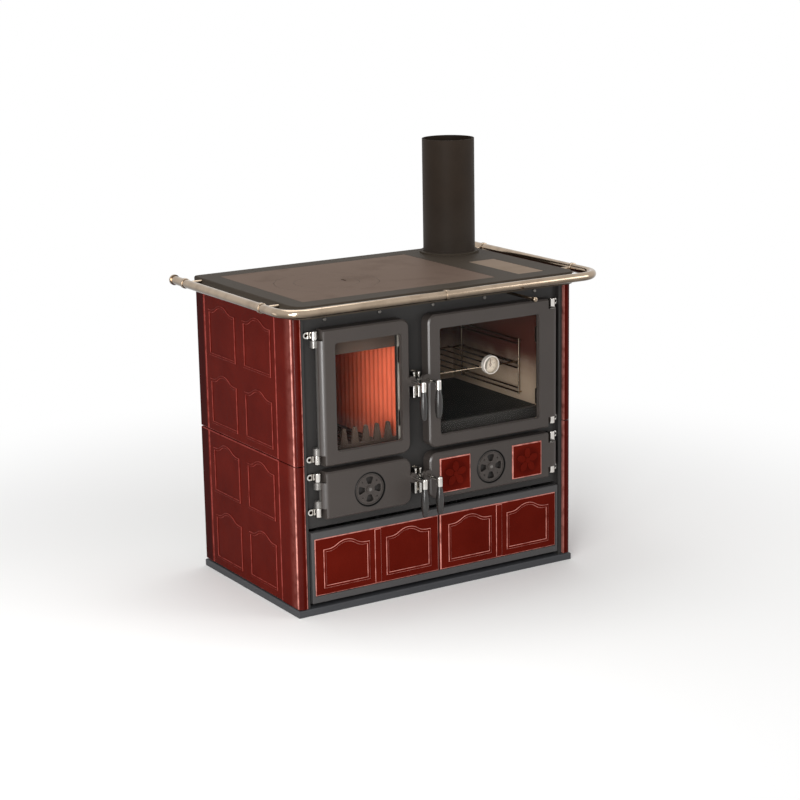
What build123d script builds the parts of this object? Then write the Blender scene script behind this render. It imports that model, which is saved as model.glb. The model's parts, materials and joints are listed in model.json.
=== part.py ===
from build123d import *
import math
import os

# A wood-burning cookstove. Millimetres, +Z up, the front faces -Y and X runs to the viewer's right.
# The origin is the centre of the plinth's underside, on the floor.

# Body
BODY_W = 904.0
BODY_D = 560.0
PLINTH_H = 19.0
PLINTH_MARGIN = 0.0
PLINTH_FLOOR = 3.0
PLINTH_RIM = 32.0
SHEET = 2.0
CASING_FLANGE = 26.0
SWAGE_W = 40.0
SWAGE_END = 120.0
SWAGE_ROUND = 12.0

# Hob
HOB_TOP = 854.0
HOB_OVERHANG_SIDE = 0.0
HOB_OVERHANG_FRONT = 30.0
HOB_OVERHANG_BACK = 10.0
HOB_T = 18.0
HOB_RIM_H = 34.0
HOB_RIM_T = 10.0
HOB_FRONT_CORNER = 42.0
HOB_BACK_CORNER = 14.0
HOB_EDGE = 5.0
PLATE_T = 12.0
PLATE_GAP = 1.0
PLATE_LEDGE = 12.0
MAIN_PLATE_LEFT = 54.0
MAIN_PLATE_RIGHT = 237.0
MAIN_PLATE_FRONT = 62.0
MAIN_PLATE_REAR = 62.0
SIDE_PLATE_W = 89.0
SIDE_PLATE_D = 251.0
SIDE_PLATE_RIGHT = 72.0
RING_IN = 198.0
RING_FORWARD = 20.0
RING_R = 145.0
RING_T = 7.0
RING_STEP = 11.0
DISC_R = 90.0
DISC_T = 4.0
DISC_STEP = 11.0
SEAT_GAP = 1.0
BOSS_DROP = 5.0
LIFT_SLOT_L = 26.0
LIFT_SLOT_W = 9.0

# Flue
FLUE_FROM_RIGHT = 104.0
FLUE_FROM_BACK = 100.0
FLUE_BORE_R = 69.0
SPIGOT_R = 73.0
SPIGOT_H = 45.0
FLANGE_R = 88.0
FLANGE_H = 6.0
PIPE_R = 77.0
PIPE_WALL = 2.0
PIPE_L = 332.0

# Rail
RAIL_R = 12.0
RAIL_WALL = 2.0
RAIL_SIDE_OFF = 50.0
RAIL_FRONT_OFF = 40.0
RAIL_DROP = 9.0
RAIL_BEND = 64.0
RAIL_END_OUT = 10.0
RAIL_JOIN_X = -15.0
RAIL_FIT = 0.05
SLEEVE_R = 14.5
SLEEVE_L = 12.0
STAY_R = 5.0
STAY_REAR_IN = 55.0
STAY_FRONT_IN = 95.0
FINIAL_R = 15.0
FINIAL_L = 18.0
FINIAL_BAND = 6.0

# Glazed tiles
TILE_T = 12.0
TILE_GAP = 3.0
TILE_EDGE = 4.0
BEAD_H = 2.5
BEAD_W = 8.0
BEAD_ROUND = 2.0
CORNER_R = 12.0
CORNER_SIDE_L = 95.0
CORNER_FRONT_W = 24.5
REAR_STRIP_W = 50.0
PANEL_W = 141.0
PANEL_H = 115.0
PANEL_RISE = 19.0
PANEL_SHOULDER = 9.0
PANEL_SILL = 30.0
SIDE_COLUMNS = 2
SIDE_ROWS = 2

# Front frame
FRAME_SIDE_GAP = 1.0
FRAME_SETBACK = 25.0
FRAME_T = 10.0
FRAME_BORDER_W = 11.0
FRAME_BORDER_H = 14.0
SEAL_LIP_W = 7.0
SEAL_LIP_H = 3.0
BAY_SIDE = 15.0
BAY_TOP = 238.0
OPEN_LAP = 14.0
OVEN_LATCH_LAP = 35.0
OVEN_HINGE_LAP = 19.0
FIRE_SILL = 440.0
FIRE_HEAD = 760.0
OVEN_SILL = 470.0
OVEN_HEAD = 752.0
LOWER_SILL = 290.0
ASH_HEAD = 386.0
LOWER_HEAD = 382.0
SCREW_COUNT = 5
SCREW_INSET = 85.0
SCREW_Z = 803.0
SCREW_HEAD_R = 5.0
SCREW_HEAD_H = 3.0
SCREW_R = 2.5
SCREW_L = 9.0

# Doors
DOOR_T = 40.0
DOOR_SEAL_GAP = 4.0
DOOR_TOP = 784.0
DOOR_BOTTOM = 414.0
LOWER_TOP = 398.0
LOWER_BOTTOM = 268.0
DOOR_CORNER = 24.0
DOOR_EDGE = 7.0
FIRE_DOOR_W = 256.0
LATCH_GAP = 61.0
WINDOW_WALL = 10.0
PANEL_WALL = 16.0
POCKET_RIM = 16.0
WINDOW_TOP = 744.0
FIRE_WINDOW_SILL = 452.0
FIRE_WINDOW_HINGE_IN = 28.0
FIRE_WINDOW_LATCH_IN = 27.0
OVEN_WINDOW_SILL = 448.0
OVEN_WINDOW_HINGE_IN = 49.0
OVEN_WINDOW_LATCH_IN = 38.0
WINDOW_CORNER = 7.0
GLASS_T = 5.0
GLASS_LAP = 11.0
CLIP_L = 44.0
CLIP_W = 16.0
CLIP_T = 4.0

# Hinges
LEFT_HINGE_IN = 42.0
RIGHT_HINGE_IN = 39.0
LEFT_HINGE_REACH = 22.0
RIGHT_HINGE_REACH = 14.0
HINGE_BACK = 7.0
KNUCKLE_R = 10.0
KNUCKLE_H = 25.0
LEFT_NOTCH_IN = 13.0
RIGHT_NOTCH_IN = 29.0
NOTCH_WALL = 6.0
LUG_R = 11.0
LUG_H = 19.0
HINGE_INSET = 4.0
HINGE_GAP = 0.5
PIN_R = 4.0
PIN_FIT = 0.05
BRACKET_L = 27.0
BRACKET_T = 8.0
BRACKET_H = 17.0
EYE_R = 5.0
EYE_DEEP = 6.0

# Latches and handles
POST_IN = 31.0
SPINDLE_OFF = 24.0
SPINDLE_R = 5.0
UPPER_LATCH_Z = 610.0
LOWER_LATCH_Z = 340.0
EAR_R = 14.0
EAR_T = 12.0
HANDLE_OUT = 56.0
FERRULE_R = 8.0
FERRULE_UP = 10.0
FERRULE_DOWN = 18.0
GRIP_L = 81.0
GRIP_NECK_R = 6.0
GRIP_BELLY_R = 11.0
GRIP_BELLY_DOWN = 48.0
GRIP_END_R = 7.0
GRIP_END_RISE = 4.0
HUB_R = 6.0
ARM_L = 18.0
ARM_H = 8.0
ARM_T = 8.0
ARM_GAP = 1.0
KEEPER_W = 28.0
KEEPER_T = 4.0
KEEPER_UP = 21.0
KEEPER_DOWN = 51.0
KEEPER_RIB_W = 8.0
KEEPER_RIB_OFF = 8.0
KEEPER_RIB_OUT = 30.0
KEEPER_SLOT_UP = 6.0
KEEPER_SLOT_DOWN = 18.0
KEEPER_SLOT_DEEP = 20.0

# Air regulator and rosette
ROSETTE_SHIFT = 4.0
LOWER_ROSETTE_SHIFT = 5.0
ROSETTE_Z = 331.0
ROSETTE_R = 46.0
ROSETTE_GAP = 1.2
ROSETTE_T = 8.0
ROSETTE_SEAT = 10.0
ROSETTE_LOBES = 4
LOBE_IN_R = 15.0
LOBE_OUT_R = 35.0
LOBE_SPAN = 42.0
LOBE_ROUND = 4.0
BOSS_R = 10.0
BOSS_H = 3.0
STUD_R = 4.0
STUD_PROUD = 2.0
DIMPLE_R = 3.0
DIMPLE_RING = 31.0
DIMPLE_DEEP = 2.0
GROOVE_R = 42.0
GROOVE_W = 2.5
GROOVE_DEEP = 1.5

# Lower door tiles
SMALL_TILE_H = 98.0
SMALL_TILE_IN = 71.0
SMALL_TILE_EDGE = 36.0
SMALL_TILE_SEAT = 6.0
SMALL_TILE_PROUD = 3.0
SMALL_TILE_FIT = 0.5
FLOWER_PETALS = 5
FLOWER_H = 1.5
FLOWER_MARGIN = 14.0
FLOWER_EYE = 0.22
PETAL_WIDTH = 0.56
PETAL_LENGTH = 0.82

# Oven thermometer
DIAL_SHIFT = 4.0
DIAL_Z = 622.0
DIAL_R = 26.0
DIAL_WALL = 3.0
DIAL_DEEP = 14.0
DIAL_FLOOR = 6.0
NEEDLE_L = 17.0
NEEDLE_W = 2.4
NEEDLE_T = 1.2
NEEDLE_HUB_R = 3.2
NEEDLE_PIN_R = 1.2
NEEDLE_LIFT = 1.0

# Wood drawer
DRAWER_SIDE_GAP = 2.0
DRAWER_BOTTOM = 31.0
DRAWER_TOP = 231.0
DRAWER_FRONT_T = 16.0
DRAWER_BAR = 19.0
DRAWER_END_BAR = 8.0
DRAWER_TILE_SEAT = 10.0
DRAWER_TILE_T = 9.5
DRAWER_TILE_MID_GAP = 6.0
DRAWER_PANEL_W = 129.0
DRAWER_PANEL_H = 94.0
DRAWER_PANEL_RISE = 18.0
DRAWER_PANEL_SILL = 27.0
DRAWER_MOULD_W = 20.0
DRAWER_MOULD_H = 2.0
DRAWER_BOX_IN = 19.0
DRAWER_BOX_BOTTOM = 42.0
DRAWER_BOX_TOP = 205.0
DRAWER_BOX_REAR = 55.0
DRAWER_SHEET = 2.0
GLIDE_W = 16.0
GLIDE_T = 6.0
GLIDE_Z = 70.0
RUNNER_T = 10.0
RUNNER_LAP = 13.0
RUN_GAP = 0.3

# Firebox
SHELL_T = 4.0
FIRE_LEFT_L = 26.0
FIRE_RIGHT_L = 34.0
FIRE_REAR = 64.0
FIRE_TOP = 800.0
ASH_FLOOR = 290.0
GRATE_LEDGE_Z = 404.0
GRATE_LEDGE_W = 38.0
LINING_T = 12.0
LINING_RIB = 8.0
LINING_PITCH = 23.0
LINING_TOP = 790.0
GRATE_T = 12.0
GRATE_RIM = 16.0
GRATE_BAR = 10.0
GRATE_SLOTS = 9
GRATE_GAP = 3.0
RETAINER_SHIFT = 5.0
RETAINER_PITCH = 35.0
RETAINER_FINGERS = 6
RETAINER_T = 8.0
RETAINER_BAR_H = 44.0
FINGER_H = 46.0
FINGER_BASE_W = 24.0
FINGER_TIP_W = 11.0
BAFFLE_T = 6.0
BAFFLE_BOTTOM = 700.0
BAFFLE_TOP = 792.0
PAN_MARGIN = 4.0
PAN_H = 62.0
PAN_SHEET = 2.5
PAN_REAR = 31.0
PAN_LIP = 9.0
PAN_LIP_IN = 40.0

# Oven
OVEN_SHEET = 2.0
OVEN_REAR = 100.0
WIRE_R = 2.5
RUNNER_FRONT_IN = 72.5
RUNNER_REAR_IN = 60.0
RUNNER_LOW_LEVEL = 500.0
RUNNER_LEVEL_PITCH = 71.0
RUNNER_LEVELS = 3
RUNNER_TAIL = 10.0
RUNNER_PAIR = 13.0
RUNNER_STANDOFF = 9.0
RACK_WIRE_R = 2.0
RACK_LIFT = 3.2
RACK_WIRES = 9
RACK_SIDE_GAP = 4.0

# Damper
DAMPER_LEFT_OF_FLUE = 100.0
DAMPER_Z = 808.0
DAMPER_ROD_R = 4.0
DAMPER_ROD_FIT = 0.06
DAMPER_OUT = 127.0
DAMPER_KNOB_R = 7.0
DAMPER_KNOB_L = 16.0
DAMPER_PLATE_W = 188.0
DAMPER_PLATE_L = 150.0
DAMPER_PLATE_T = 4.0
DAMPER_CLEAR = 5.0
GUIDE_T = 4.0
GUIDE_LIP = 8.0

# Places worked out from the sizes above
TILE_FACE_X = BODY_W / 2 - PLINTH_MARGIN
TILE_BASE_X = TILE_FACE_X - BEAD_H
CASING_X = TILE_BASE_X - TILE_T
FRONT_Y = -(BODY_D / 2 - PLINTH_MARGIN)
BACK_Y = BODY_D / 2
HOB_W = BODY_W + 2 * HOB_OVERHANG_SIDE
HOB_FRONT_Y = -(BODY_D / 2 + HOB_OVERHANG_FRONT)
HOB_BACK_Y = BODY_D / 2 + HOB_OVERHANG_BACK
HOB_UNDER = HOB_TOP - HOB_T
RIM_BOTTOM = HOB_TOP - HOB_RIM_H
MAIN_PLATE_W = HOB_W - MAIN_PLATE_LEFT - MAIN_PLATE_RIGHT
MAIN_PLATE_D = HOB_BACK_Y - HOB_FRONT_Y - MAIN_PLATE_FRONT - MAIN_PLATE_REAR
MAIN_PLATE_X = (MAIN_PLATE_LEFT - MAIN_PLATE_RIGHT) / 2
MAIN_PLATE_Y = (HOB_FRONT_Y + MAIN_PLATE_FRONT + HOB_BACK_Y - MAIN_PLATE_REAR) / 2
SIDE_PLATE_X = HOB_W / 2 - SIDE_PLATE_RIGHT - SIDE_PLATE_W / 2
RING_X = MAIN_PLATE_X - MAIN_PLATE_W / 2 + RING_IN
RING_Y = MAIN_PLATE_Y - RING_FORWARD
FLUE_X = HOB_W / 2 - FLUE_FROM_RIGHT
FLUE_Y = HOB_BACK_Y - FLUE_FROM_BACK
DAMPER_X = FLUE_X - DAMPER_LEFT_OF_FLUE
STAY_REAR_Y = HOB_BACK_Y - STAY_REAR_IN
STAY_FRONT_Y = HOB_FRONT_Y + STAY_FRONT_IN
CORNER_FRONT_X = TILE_BASE_X - CORNER_FRONT_W
FRAME_HALF = CORNER_FRONT_X - FRAME_SIDE_GAP
SCREW_PITCH = 2 * (FRAME_HALF - SCREW_INSET) / (SCREW_COUNT - 1)
BAY_HALF = FRAME_HALF - BAY_SIDE
FRAME_Y = FRONT_Y + FRAME_SETBACK - BEAD_H
FRAME_BACK_Y = FRAME_Y + FRAME_T
DOOR_BACK_Y = FRAME_Y - DOOR_SEAL_GAP
DOOR_FACE_Y = DOOR_BACK_Y - DOOR_T
DOOR_MID_Y = DOOR_BACK_Y - DOOR_T / 2
HINGE_Y = DOOR_MID_Y + HINGE_BACK
LEFT_HINGE_X = LEFT_HINGE_IN - FRAME_HALF
RIGHT_HINGE_X = FRAME_HALF - RIGHT_HINGE_IN
LEFT_BARREL_X = LEFT_HINGE_X + LEFT_HINGE_REACH
RIGHT_BARREL_X = RIGHT_HINGE_X - RIGHT_HINGE_REACH
LEFT_LATCH_X = LEFT_BARREL_X + FIRE_DOOR_W
RIGHT_LATCH_X = LEFT_LATCH_X + LATCH_GAP
POST_X = LEFT_LATCH_X + POST_IN
LEFT_DOOR_X = (LEFT_BARREL_X + LEFT_LATCH_X) / 2
RIGHT_DOOR_X = (RIGHT_BARREL_X + RIGHT_LATCH_X) / 2
LEFT_OPEN = (LEFT_BARREL_X + OPEN_LAP, LEFT_LATCH_X - OPEN_LAP)
RIGHT_OPEN = (RIGHT_LATCH_X + OVEN_LATCH_LAP, RIGHT_BARREL_X - OVEN_HINGE_LAP)
FIRE_OPEN = (*LEFT_OPEN, FIRE_SILL, FIRE_HEAD)
ASH_OPEN = (*LEFT_OPEN, LOWER_SILL, ASH_HEAD)
OVEN_OPEN = (*RIGHT_OPEN, OVEN_SILL, OVEN_HEAD)
LOWER_OPEN = (*RIGHT_OPEN, LOWER_SILL, LOWER_HEAD)
FIRE_WINDOW_X = (LEFT_BARREL_X + FIRE_WINDOW_HINGE_IN, LEFT_LATCH_X - FIRE_WINDOW_LATCH_IN)
FIRE_WINDOW = (*FIRE_WINDOW_X, FIRE_WINDOW_SILL, WINDOW_TOP)
OVEN_WINDOW_X = (RIGHT_LATCH_X + OVEN_WINDOW_LATCH_IN, RIGHT_BARREL_X - OVEN_WINDOW_HINGE_IN)
OVEN_WINDOW = (*OVEN_WINDOW_X, OVEN_WINDOW_SILL, WINDOW_TOP)
ROSETTE_X = LEFT_DOOR_X - ROSETTE_SHIFT
LOWER_ROSETTE_X = RIGHT_DOOR_X - LOWER_ROSETTE_SHIFT
SMALL_TILE_W = (RIGHT_BARREL_X - RIGHT_LATCH_X) / 2 - SMALL_TILE_EDGE - SMALL_TILE_IN
SMALL_TILE_OFF = SMALL_TILE_IN + SMALL_TILE_W / 2
FLOWER_R = SMALL_TILE_W / 2 - FLOWER_MARGIN
DIAL_X = RIGHT_DOOR_X - DIAL_SHIFT
HANDLE_Y = DOOR_FACE_Y - HANDLE_OUT
ARM_FRONT_Y = DOOR_FACE_Y + EAR_T + ARM_GAP
RAIL_X = HOB_W / 2 + RAIL_SIDE_OFF
RAIL_Y = HOB_FRONT_Y - RAIL_FRONT_OFF
RAIL_Z = HOB_TOP - RAIL_DROP
RAIL_END_Y = HOB_BACK_Y + RAIL_END_OUT
GLASS_FACE_Y = DOOR_FACE_Y + WINDOW_WALL
TILE_TOP = RIM_BOTTOM - TILE_GAP
TILE_BOTTOM = PLINTH_H + TILE_GAP
TILE_H = (TILE_TOP - TILE_BOTTOM - TILE_GAP) / 2
SIDE_FRONT_Y = FRONT_Y + CORNER_SIDE_L
SIDE_REAR_Y = BACK_Y - REAR_STRIP_W - TILE_GAP
SIDE_TILE_W = SIDE_REAR_Y - SIDE_FRONT_Y - TILE_GAP
DRAWER_FACE_Y = DOOR_BACK_Y - DRAWER_FRONT_T
DRAWER_HALF = BAY_HALF - DRAWER_SIDE_GAP
DRAWER_BOX_HALF = BAY_HALF - DRAWER_BOX_IN
DRAWER_BOX_BACK = BACK_Y - DRAWER_BOX_REAR
FIRE_X0 = LEFT_OPEN[0] - FIRE_LEFT_L
FIRE_X1 = LEFT_OPEN[1] + FIRE_RIGHT_L
FIRE_BACK = BACK_Y - FIRE_REAR
RETAINER_X = (LEFT_OPEN[0] + LEFT_OPEN[1]) / 2 + RETAINER_SHIFT
PAN_BACK = FIRE_BACK - PAN_REAR
OVEN_BACK = BACK_Y - OVEN_REAR
RUNNER_FRONT_Y = FRAME_BACK_Y + RUNNER_FRONT_IN
RUNNER_REAR_Y = OVEN_BACK - RUNNER_REAR_IN
RUNNER_LOW_Z = RUNNER_LOW_LEVEL - RUNNER_TAIL
RUNNER_HIGH_Z = RUNNER_LOW_LEVEL + (RUNNER_LEVELS - 1) * RUNNER_LEVEL_PITCH + RUNNER_TAIL
LINING_FULL = LINING_T + LINING_RIB


def block(x0, x1, y0, y1, z0, z1):
    """A box between two corners."""
    centre = Pos((x0 + x1) / 2, (y0 + y1) / 2, (z0 + z1) / 2)
    return centre * Box(x1 - x0, y1 - y0, z1 - z0)


def post(x, y, z0, z1, radius):
    """A round bar standing along Z."""
    return Pos(x, y, (z0 + z1) / 2) * Cylinder(radius, z1 - z0)


def rod_y(x, z, y0, y1, radius):
    """A round bar lying along Y."""
    return Pos(x, (y0 + y1) / 2, z) * Rot(90, 0, 0) * Cylinder(radius, y1 - y0)


def rod_x(y, z, x0, x1, radius):
    """A round bar lying along X."""
    return Pos((x0 + x1) / 2, y, z) * Rot(0, 90, 0) * Cylinder(radius, x1 - x0)


def opening(box, y0, y1, corner=0.0):
    """A cutter through an opening given as (x0, x1, z0, z1)."""
    x0, x1, z0, z1 = box
    cutter = block(x0, x1, y0, y1, z0, z1)
    if corner:
        cutter = fillet(cutter.edges().filter_by(Axis.Y), corner)
    return cutter


def grown(box, margin):
    """An opening made larger all round."""
    x0, x1, z0, z1 = box
    return (x0 - margin, x1 + margin, z0 - margin, z1 + margin)


def dome(radius, start, tip):
    """The arc of a round end, from its rim at (radius, start) to its tip on the axis at (0, tip)."""
    rise = tip - start
    sphere = (radius * radius + rise * rise) / (2 * abs(rise))
    centre = tip - math.copysign(sphere, rise)
    rim = math.degrees(math.atan2(start - centre, radius))
    return CenterArc((0, centre), sphere, rim, math.copysign(90, rise) - rim)


def mirrored(solid):
    """The same piece on the other side of the stove."""
    return mirror(solid, about=Plane.YZ)


# Glazed tiles

def arch_face(width, height, rise, shoulder):
    """A panel outline: square foot, short flat shoulders and an ogee arch between them."""
    half = width / 2
    run = (half - shoulder) / 2
    lift = rise / 2
    radius = (run * run + lift * lift) / (2 * lift)
    bend = math.atan2(lift, run)
    knee = (half - shoulder - radius * math.sin(bend), height + radius * (1 - math.cos(bend)))
    spring = (run, height + lift)
    edges = [
        Line((-half, 0), (half, 0)),
        Line((half, 0), (half, height)),
        Line((half, height), (half - shoulder, height)),
        ThreePointArc((half - shoulder, height), knee, spring),
        ThreePointArc(spring, (0, height + rise), (-spring[0], spring[1])),
        ThreePointArc((-spring[0], spring[1]), (-knee[0], knee[1]), (shoulder - half, height)),
        Line((shoulder - half, height), (-half, height)),
        Line((-half, height), (-half, 0)),
    ]
    return make_face(edges)


def panel_bead(width, height, rise, shoulder):
    """The raised bead round one embossed panel, standing on the XZ plane."""
    inner = arch_face(width, height, rise, shoulder)
    outer = arch_face(width + 2 * BEAD_W, height + 2 * BEAD_W, rise, shoulder + BEAD_W / 2)
    ring = Pos(0, -BEAD_W) * outer - inner
    bead = extrude(Plane.XZ * ring, amount=BEAD_H)
    return fillet(bead.faces().sort_by(Axis.Y)[0].edges(), BEAD_ROUND)


def embossed_tile(width, height, thick, columns, rows, panel, sill):
    """A tile with its back on y = 0, its face towards -Y, and a grid of arched panels."""
    tile = block(-width / 2, width / 2, -thick, 0, 0, height)
    tile = fillet(tile.faces().sort_by(Axis.Y)[0].edges(), TILE_EDGE)
    bead = panel_bead(*panel)
    for column in range(columns):
        x = (column - (columns - 1) / 2) * width / columns
        for row in range(rows):
            tile += Pos(x, -thick, sill + row * height / rows) * bead
    return tile


def side_tiles(side):
    """One side's tiles: two tall embossed ones, each with a narrow plain one behind it."""
    panel = (PANEL_W, PANEL_H, PANEL_RISE, PANEL_SHOULDER)
    tile = embossed_tile(SIDE_TILE_W, TILE_H, TILE_T, SIDE_COLUMNS, SIDE_ROWS, panel, PANEL_SILL)
    edge = edge_tile()
    middle = (SIDE_FRONT_Y + SIDE_REAR_Y + TILE_GAP) / 2
    stack = []
    for level in range(2):
        z = TILE_BOTTOM + level * (TILE_H + TILE_GAP)
        for piece, y in ((tile, middle), (edge, BACK_Y - REAR_STRIP_W / 2)):
            stack.append(Pos(side * CASING_X, y, z) * Rot(0, 0, side * 90) * piece)
    return Compound(children=stack)


def edge_tile():
    """A narrow plain tile that finishes a side at the back."""
    strip = block(-REAR_STRIP_W / 2, REAR_STRIP_W / 2, -TILE_T, 0, 0, TILE_H)
    return fillet(strip.faces().sort_by(Axis.Y)[0].edges(), TILE_EDGE)


def corner_tile():
    """One left front corner tile: a quarter round joining a side leg and a short front leg."""
    outer = block(-TILE_BASE_X, -CORNER_FRONT_X, FRONT_Y, SIDE_FRONT_Y, 0, TILE_H)
    nose = outer.edges().filter_by(Axis.Z).sort_by(lambda e: e.center().X + e.center().Y)[0]
    outer = fillet(nose, CORNER_R)
    hollow = block(-CASING_X, -CORNER_FRONT_X + 1, FRONT_Y + TILE_T, SIDE_FRONT_Y + 1, -1, TILE_H + 1)
    return outer - hollow


def corner_tiles():
    """The upper and lower left corner tiles."""
    tile = corner_tile()
    lifts = [TILE_BOTTOM + level * (TILE_H + TILE_GAP) for level in range(2)]
    return Compound(children=[Pos(0, 0, z) * tile for z in lifts])


# Casing

def plinth():
    """A shallow steel tray that stands on the floor and carries the casing on its rim."""
    tray = block(-BODY_W / 2, BODY_W / 2, -BODY_D / 2, BODY_D / 2, 0, PLINTH_H)
    inner_x = BODY_W / 2 - PLINTH_RIM
    inner_y = BODY_D / 2 - PLINTH_RIM
    tray -= block(-inner_x, inner_x, -inner_y, inner_y, PLINTH_FLOOR, PLINTH_H + 1)
    return chamfer(tray.faces().sort_by(Axis.Z)[-1].outer_wire().edges(), 2)


def left_casing():
    """The folded steel side panel behind the tiles, flanged at the front and the back."""
    inner = CASING_X - SHEET
    panel = block(-CASING_X, -inner, FRAME_BACK_Y - SHEET, BACK_Y, PLINTH_H, HOB_UNDER)
    front = block(-inner, -inner + CASING_FLANGE, FRAME_BACK_Y, FRAME_BACK_Y + SHEET, PLINTH_H, HOB_UNDER)
    rear = block(-inner, -inner + CASING_FLANGE, BACK_Y - SHEET, BACK_Y, PLINTH_H, HOB_UNDER)
    return panel + front + rear


def rear_panel():
    """The sheet that closes the back, stiffened by two pressed swages."""
    half = CASING_X - SHEET
    y1 = BACK_Y - SHEET
    sheet = block(-half, half, y1 - SHEET, y1, PLINTH_H, HOB_UNDER)
    for x in (-half / 2, half / 2):
        x0, x1 = x - SWAGE_W / 2, x + SWAGE_W / 2
        swage = block(x0, x1, y1, y1 + SHEET, PLINTH_H + SWAGE_END, HOB_UNDER - SWAGE_END)
        sheet += fillet(swage.edges().filter_by(Axis.Y), SWAGE_ROUND)
    return sheet


def seal_lip(box):
    """The raised lip round a door opening that the door closes on."""
    y0, y1 = FRAME_Y - SEAL_LIP_H, FRAME_Y
    lip = opening(grown(box, SEAL_LIP_W), y0, y1)
    return lip - opening(box, y0 - 1, y1 + 1)


def front_frame():
    """The cast front: posts down to the plinth, four door openings and the drawer bay."""
    frame = block(-FRAME_HALF, FRAME_HALF, FRAME_Y, FRAME_BACK_Y, PLINTH_H, HOB_UNDER)
    border_y = FRAME_Y - FRAME_BORDER_H
    for side in (-1, 1):
        x0, x1 = sorted((side * (FRAME_HALF - FRAME_BORDER_W), side * FRAME_HALF))
        frame += block(x0, x1, border_y, FRAME_Y, PLINTH_H, RIM_BOTTOM)
    frame -= block(-BAY_HALF, BAY_HALF, border_y - 1, FRAME_BACK_Y + 1, PLINTH_H - 1, BAY_TOP)
    for box in (FIRE_OPEN, ASH_OPEN, OVEN_OPEN, LOWER_OPEN):
        frame += seal_lip(box)
        frame -= opening(box, FRAME_Y - 1, FRAME_BACK_Y + 1)
    frame -= rod_y(DAMPER_X, DAMPER_Z, FRAME_Y - 1, FRAME_BACK_Y + 1, DAMPER_ROD_R + DAMPER_ROD_FIT)
    for x in screw_places():
        frame -= rod_y(x, SCREW_Z, FRAME_Y - 1, FRAME_BACK_Y + 1, SCREW_R)
    return frame


def screw_places():
    """Where the screws sit along the top of the front frame."""
    return [SCREW_INSET - FRAME_HALF + i * SCREW_PITCH for i in range(SCREW_COUNT)]


def frame_screws():
    """Domed screws along the top of the front frame."""
    shank = rod_y(0, 0, 0, SCREW_L, SCREW_R)
    head = rod_y(0, 0, -SCREW_HEAD_H, 0, SCREW_HEAD_R)
    head = fillet(head.edges().sort_by(Axis.Y)[0], SCREW_HEAD_H * 0.6)
    screw = head + shank
    return Compound(children=[Pos(x, FRAME_Y, SCREW_Z) * screw for x in screw_places()])


# Hob

def hob_slab(inset, z0, z1):
    """The hob's outline, drawn in by an inset, between two heights."""
    half = HOB_W / 2 - inset
    slab = block(-half, half, HOB_FRONT_Y + inset, HOB_BACK_Y - inset, z0, z1)
    uprights = slab.edges().filter_by(Axis.Z).group_by(Axis.Y)
    slab = fillet(uprights[0], HOB_FRONT_CORNER - inset)
    uprights = slab.edges().filter_by(Axis.Z).group_by(Axis.Y)
    return fillet(uprights[-1], HOB_BACK_CORNER - inset)


def plate_seat(x, y, width, depth):
    """The stepped opening that a loose hob plate drops into."""
    z = HOB_TOP - PLATE_T
    seat = block(x - width / 2, x + width / 2, y - depth / 2, y + depth / 2, z, HOB_TOP + 1)
    w, d = width / 2 - PLATE_LEDGE, depth / 2 - PLATE_LEDGE
    return seat + block(x - w, x + w, y - d, y + d, HOB_UNDER - 1, HOB_TOP + 1)


def side_plate_y():
    """The small plate lines up with the front of the main one."""
    return MAIN_PLATE_Y - MAIN_PLATE_D / 2 + SIDE_PLATE_D / 2


def damper_left():
    """The damper plate's left edge: its rod runs just inside the left guide's lip."""
    return DAMPER_X - DAMPER_ROD_R - GUIDE_LIP - SEAT_GAP


def damper_guides():
    """Two angles cast under the hob that the damper plate slides in."""
    x0 = damper_left()
    x1 = x0 + DAMPER_PLATE_W
    low = DAMPER_Z - DAMPER_PLATE_T / 2 - RUN_GAP
    y0 = FLUE_Y - FLUE_BORE_R - DAMPER_CLEAR - DAMPER_PLATE_L
    y1 = FLUE_Y + FLUE_BORE_R
    guides = []
    for x, inward in ((x0 - RUN_GAP, 1), (x1 + RUN_GAP, -1)):
        web = sorted((x, x - inward * GUIDE_T))
        lip = sorted((x - inward * GUIDE_T, x + inward * GUIDE_LIP))
        guide = block(web[0], web[1], y0, y1, low - GUIDE_T, HOB_UNDER)
        guides.append(guide + block(lip[0], lip[1], y0, y1, low - GUIDE_T, low))
    return guides


def hob_frame():
    """The cast top: a rimmed plate with seats for the loose plates and a hole for the flue."""
    frame = hob_slab(0, RIM_BOTTOM, HOB_TOP)
    frame = fillet(frame.faces().sort_by(Axis.Z)[-1].edges(), HOB_EDGE)
    frame -= hob_slab(HOB_RIM_T, RIM_BOTTOM - 1, HOB_UNDER)
    frame -= plate_seat(MAIN_PLATE_X, MAIN_PLATE_Y, MAIN_PLATE_W, MAIN_PLATE_D)
    frame -= plate_seat(SIDE_PLATE_X, side_plate_y(), SIDE_PLATE_W, SIDE_PLATE_D)
    frame -= post(FLUE_X, FLUE_Y, HOB_UNDER - 1, HOB_TOP + 1, FLUE_BORE_R)
    for guide in damper_guides():
        frame += guide
    return frame


def loose_plate(x, y, width, depth):
    """A ground cast plate that drops into its seat."""
    w, d = width / 2 - PLATE_GAP, depth / 2 - PLATE_GAP
    plate = block(x - w, x + w, y - d, y + d, HOB_TOP - PLATE_T, HOB_TOP)
    return chamfer(plate.faces().sort_by(Axis.Z)[-1].edges(), 1)


def hob_main_plate():
    """The large plate over the fire, with the stepped hole for the ring."""
    plate = loose_plate(MAIN_PLATE_X, MAIN_PLATE_Y, MAIN_PLATE_W, MAIN_PLATE_D)
    plate -= post(RING_X, RING_Y, HOB_TOP - RING_T, HOB_TOP + 1, RING_R + SEAT_GAP)
    return plate - post(RING_X, RING_Y, HOB_TOP - PLATE_T - 1, HOB_TOP, RING_R - RING_STEP + SEAT_GAP)


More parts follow.
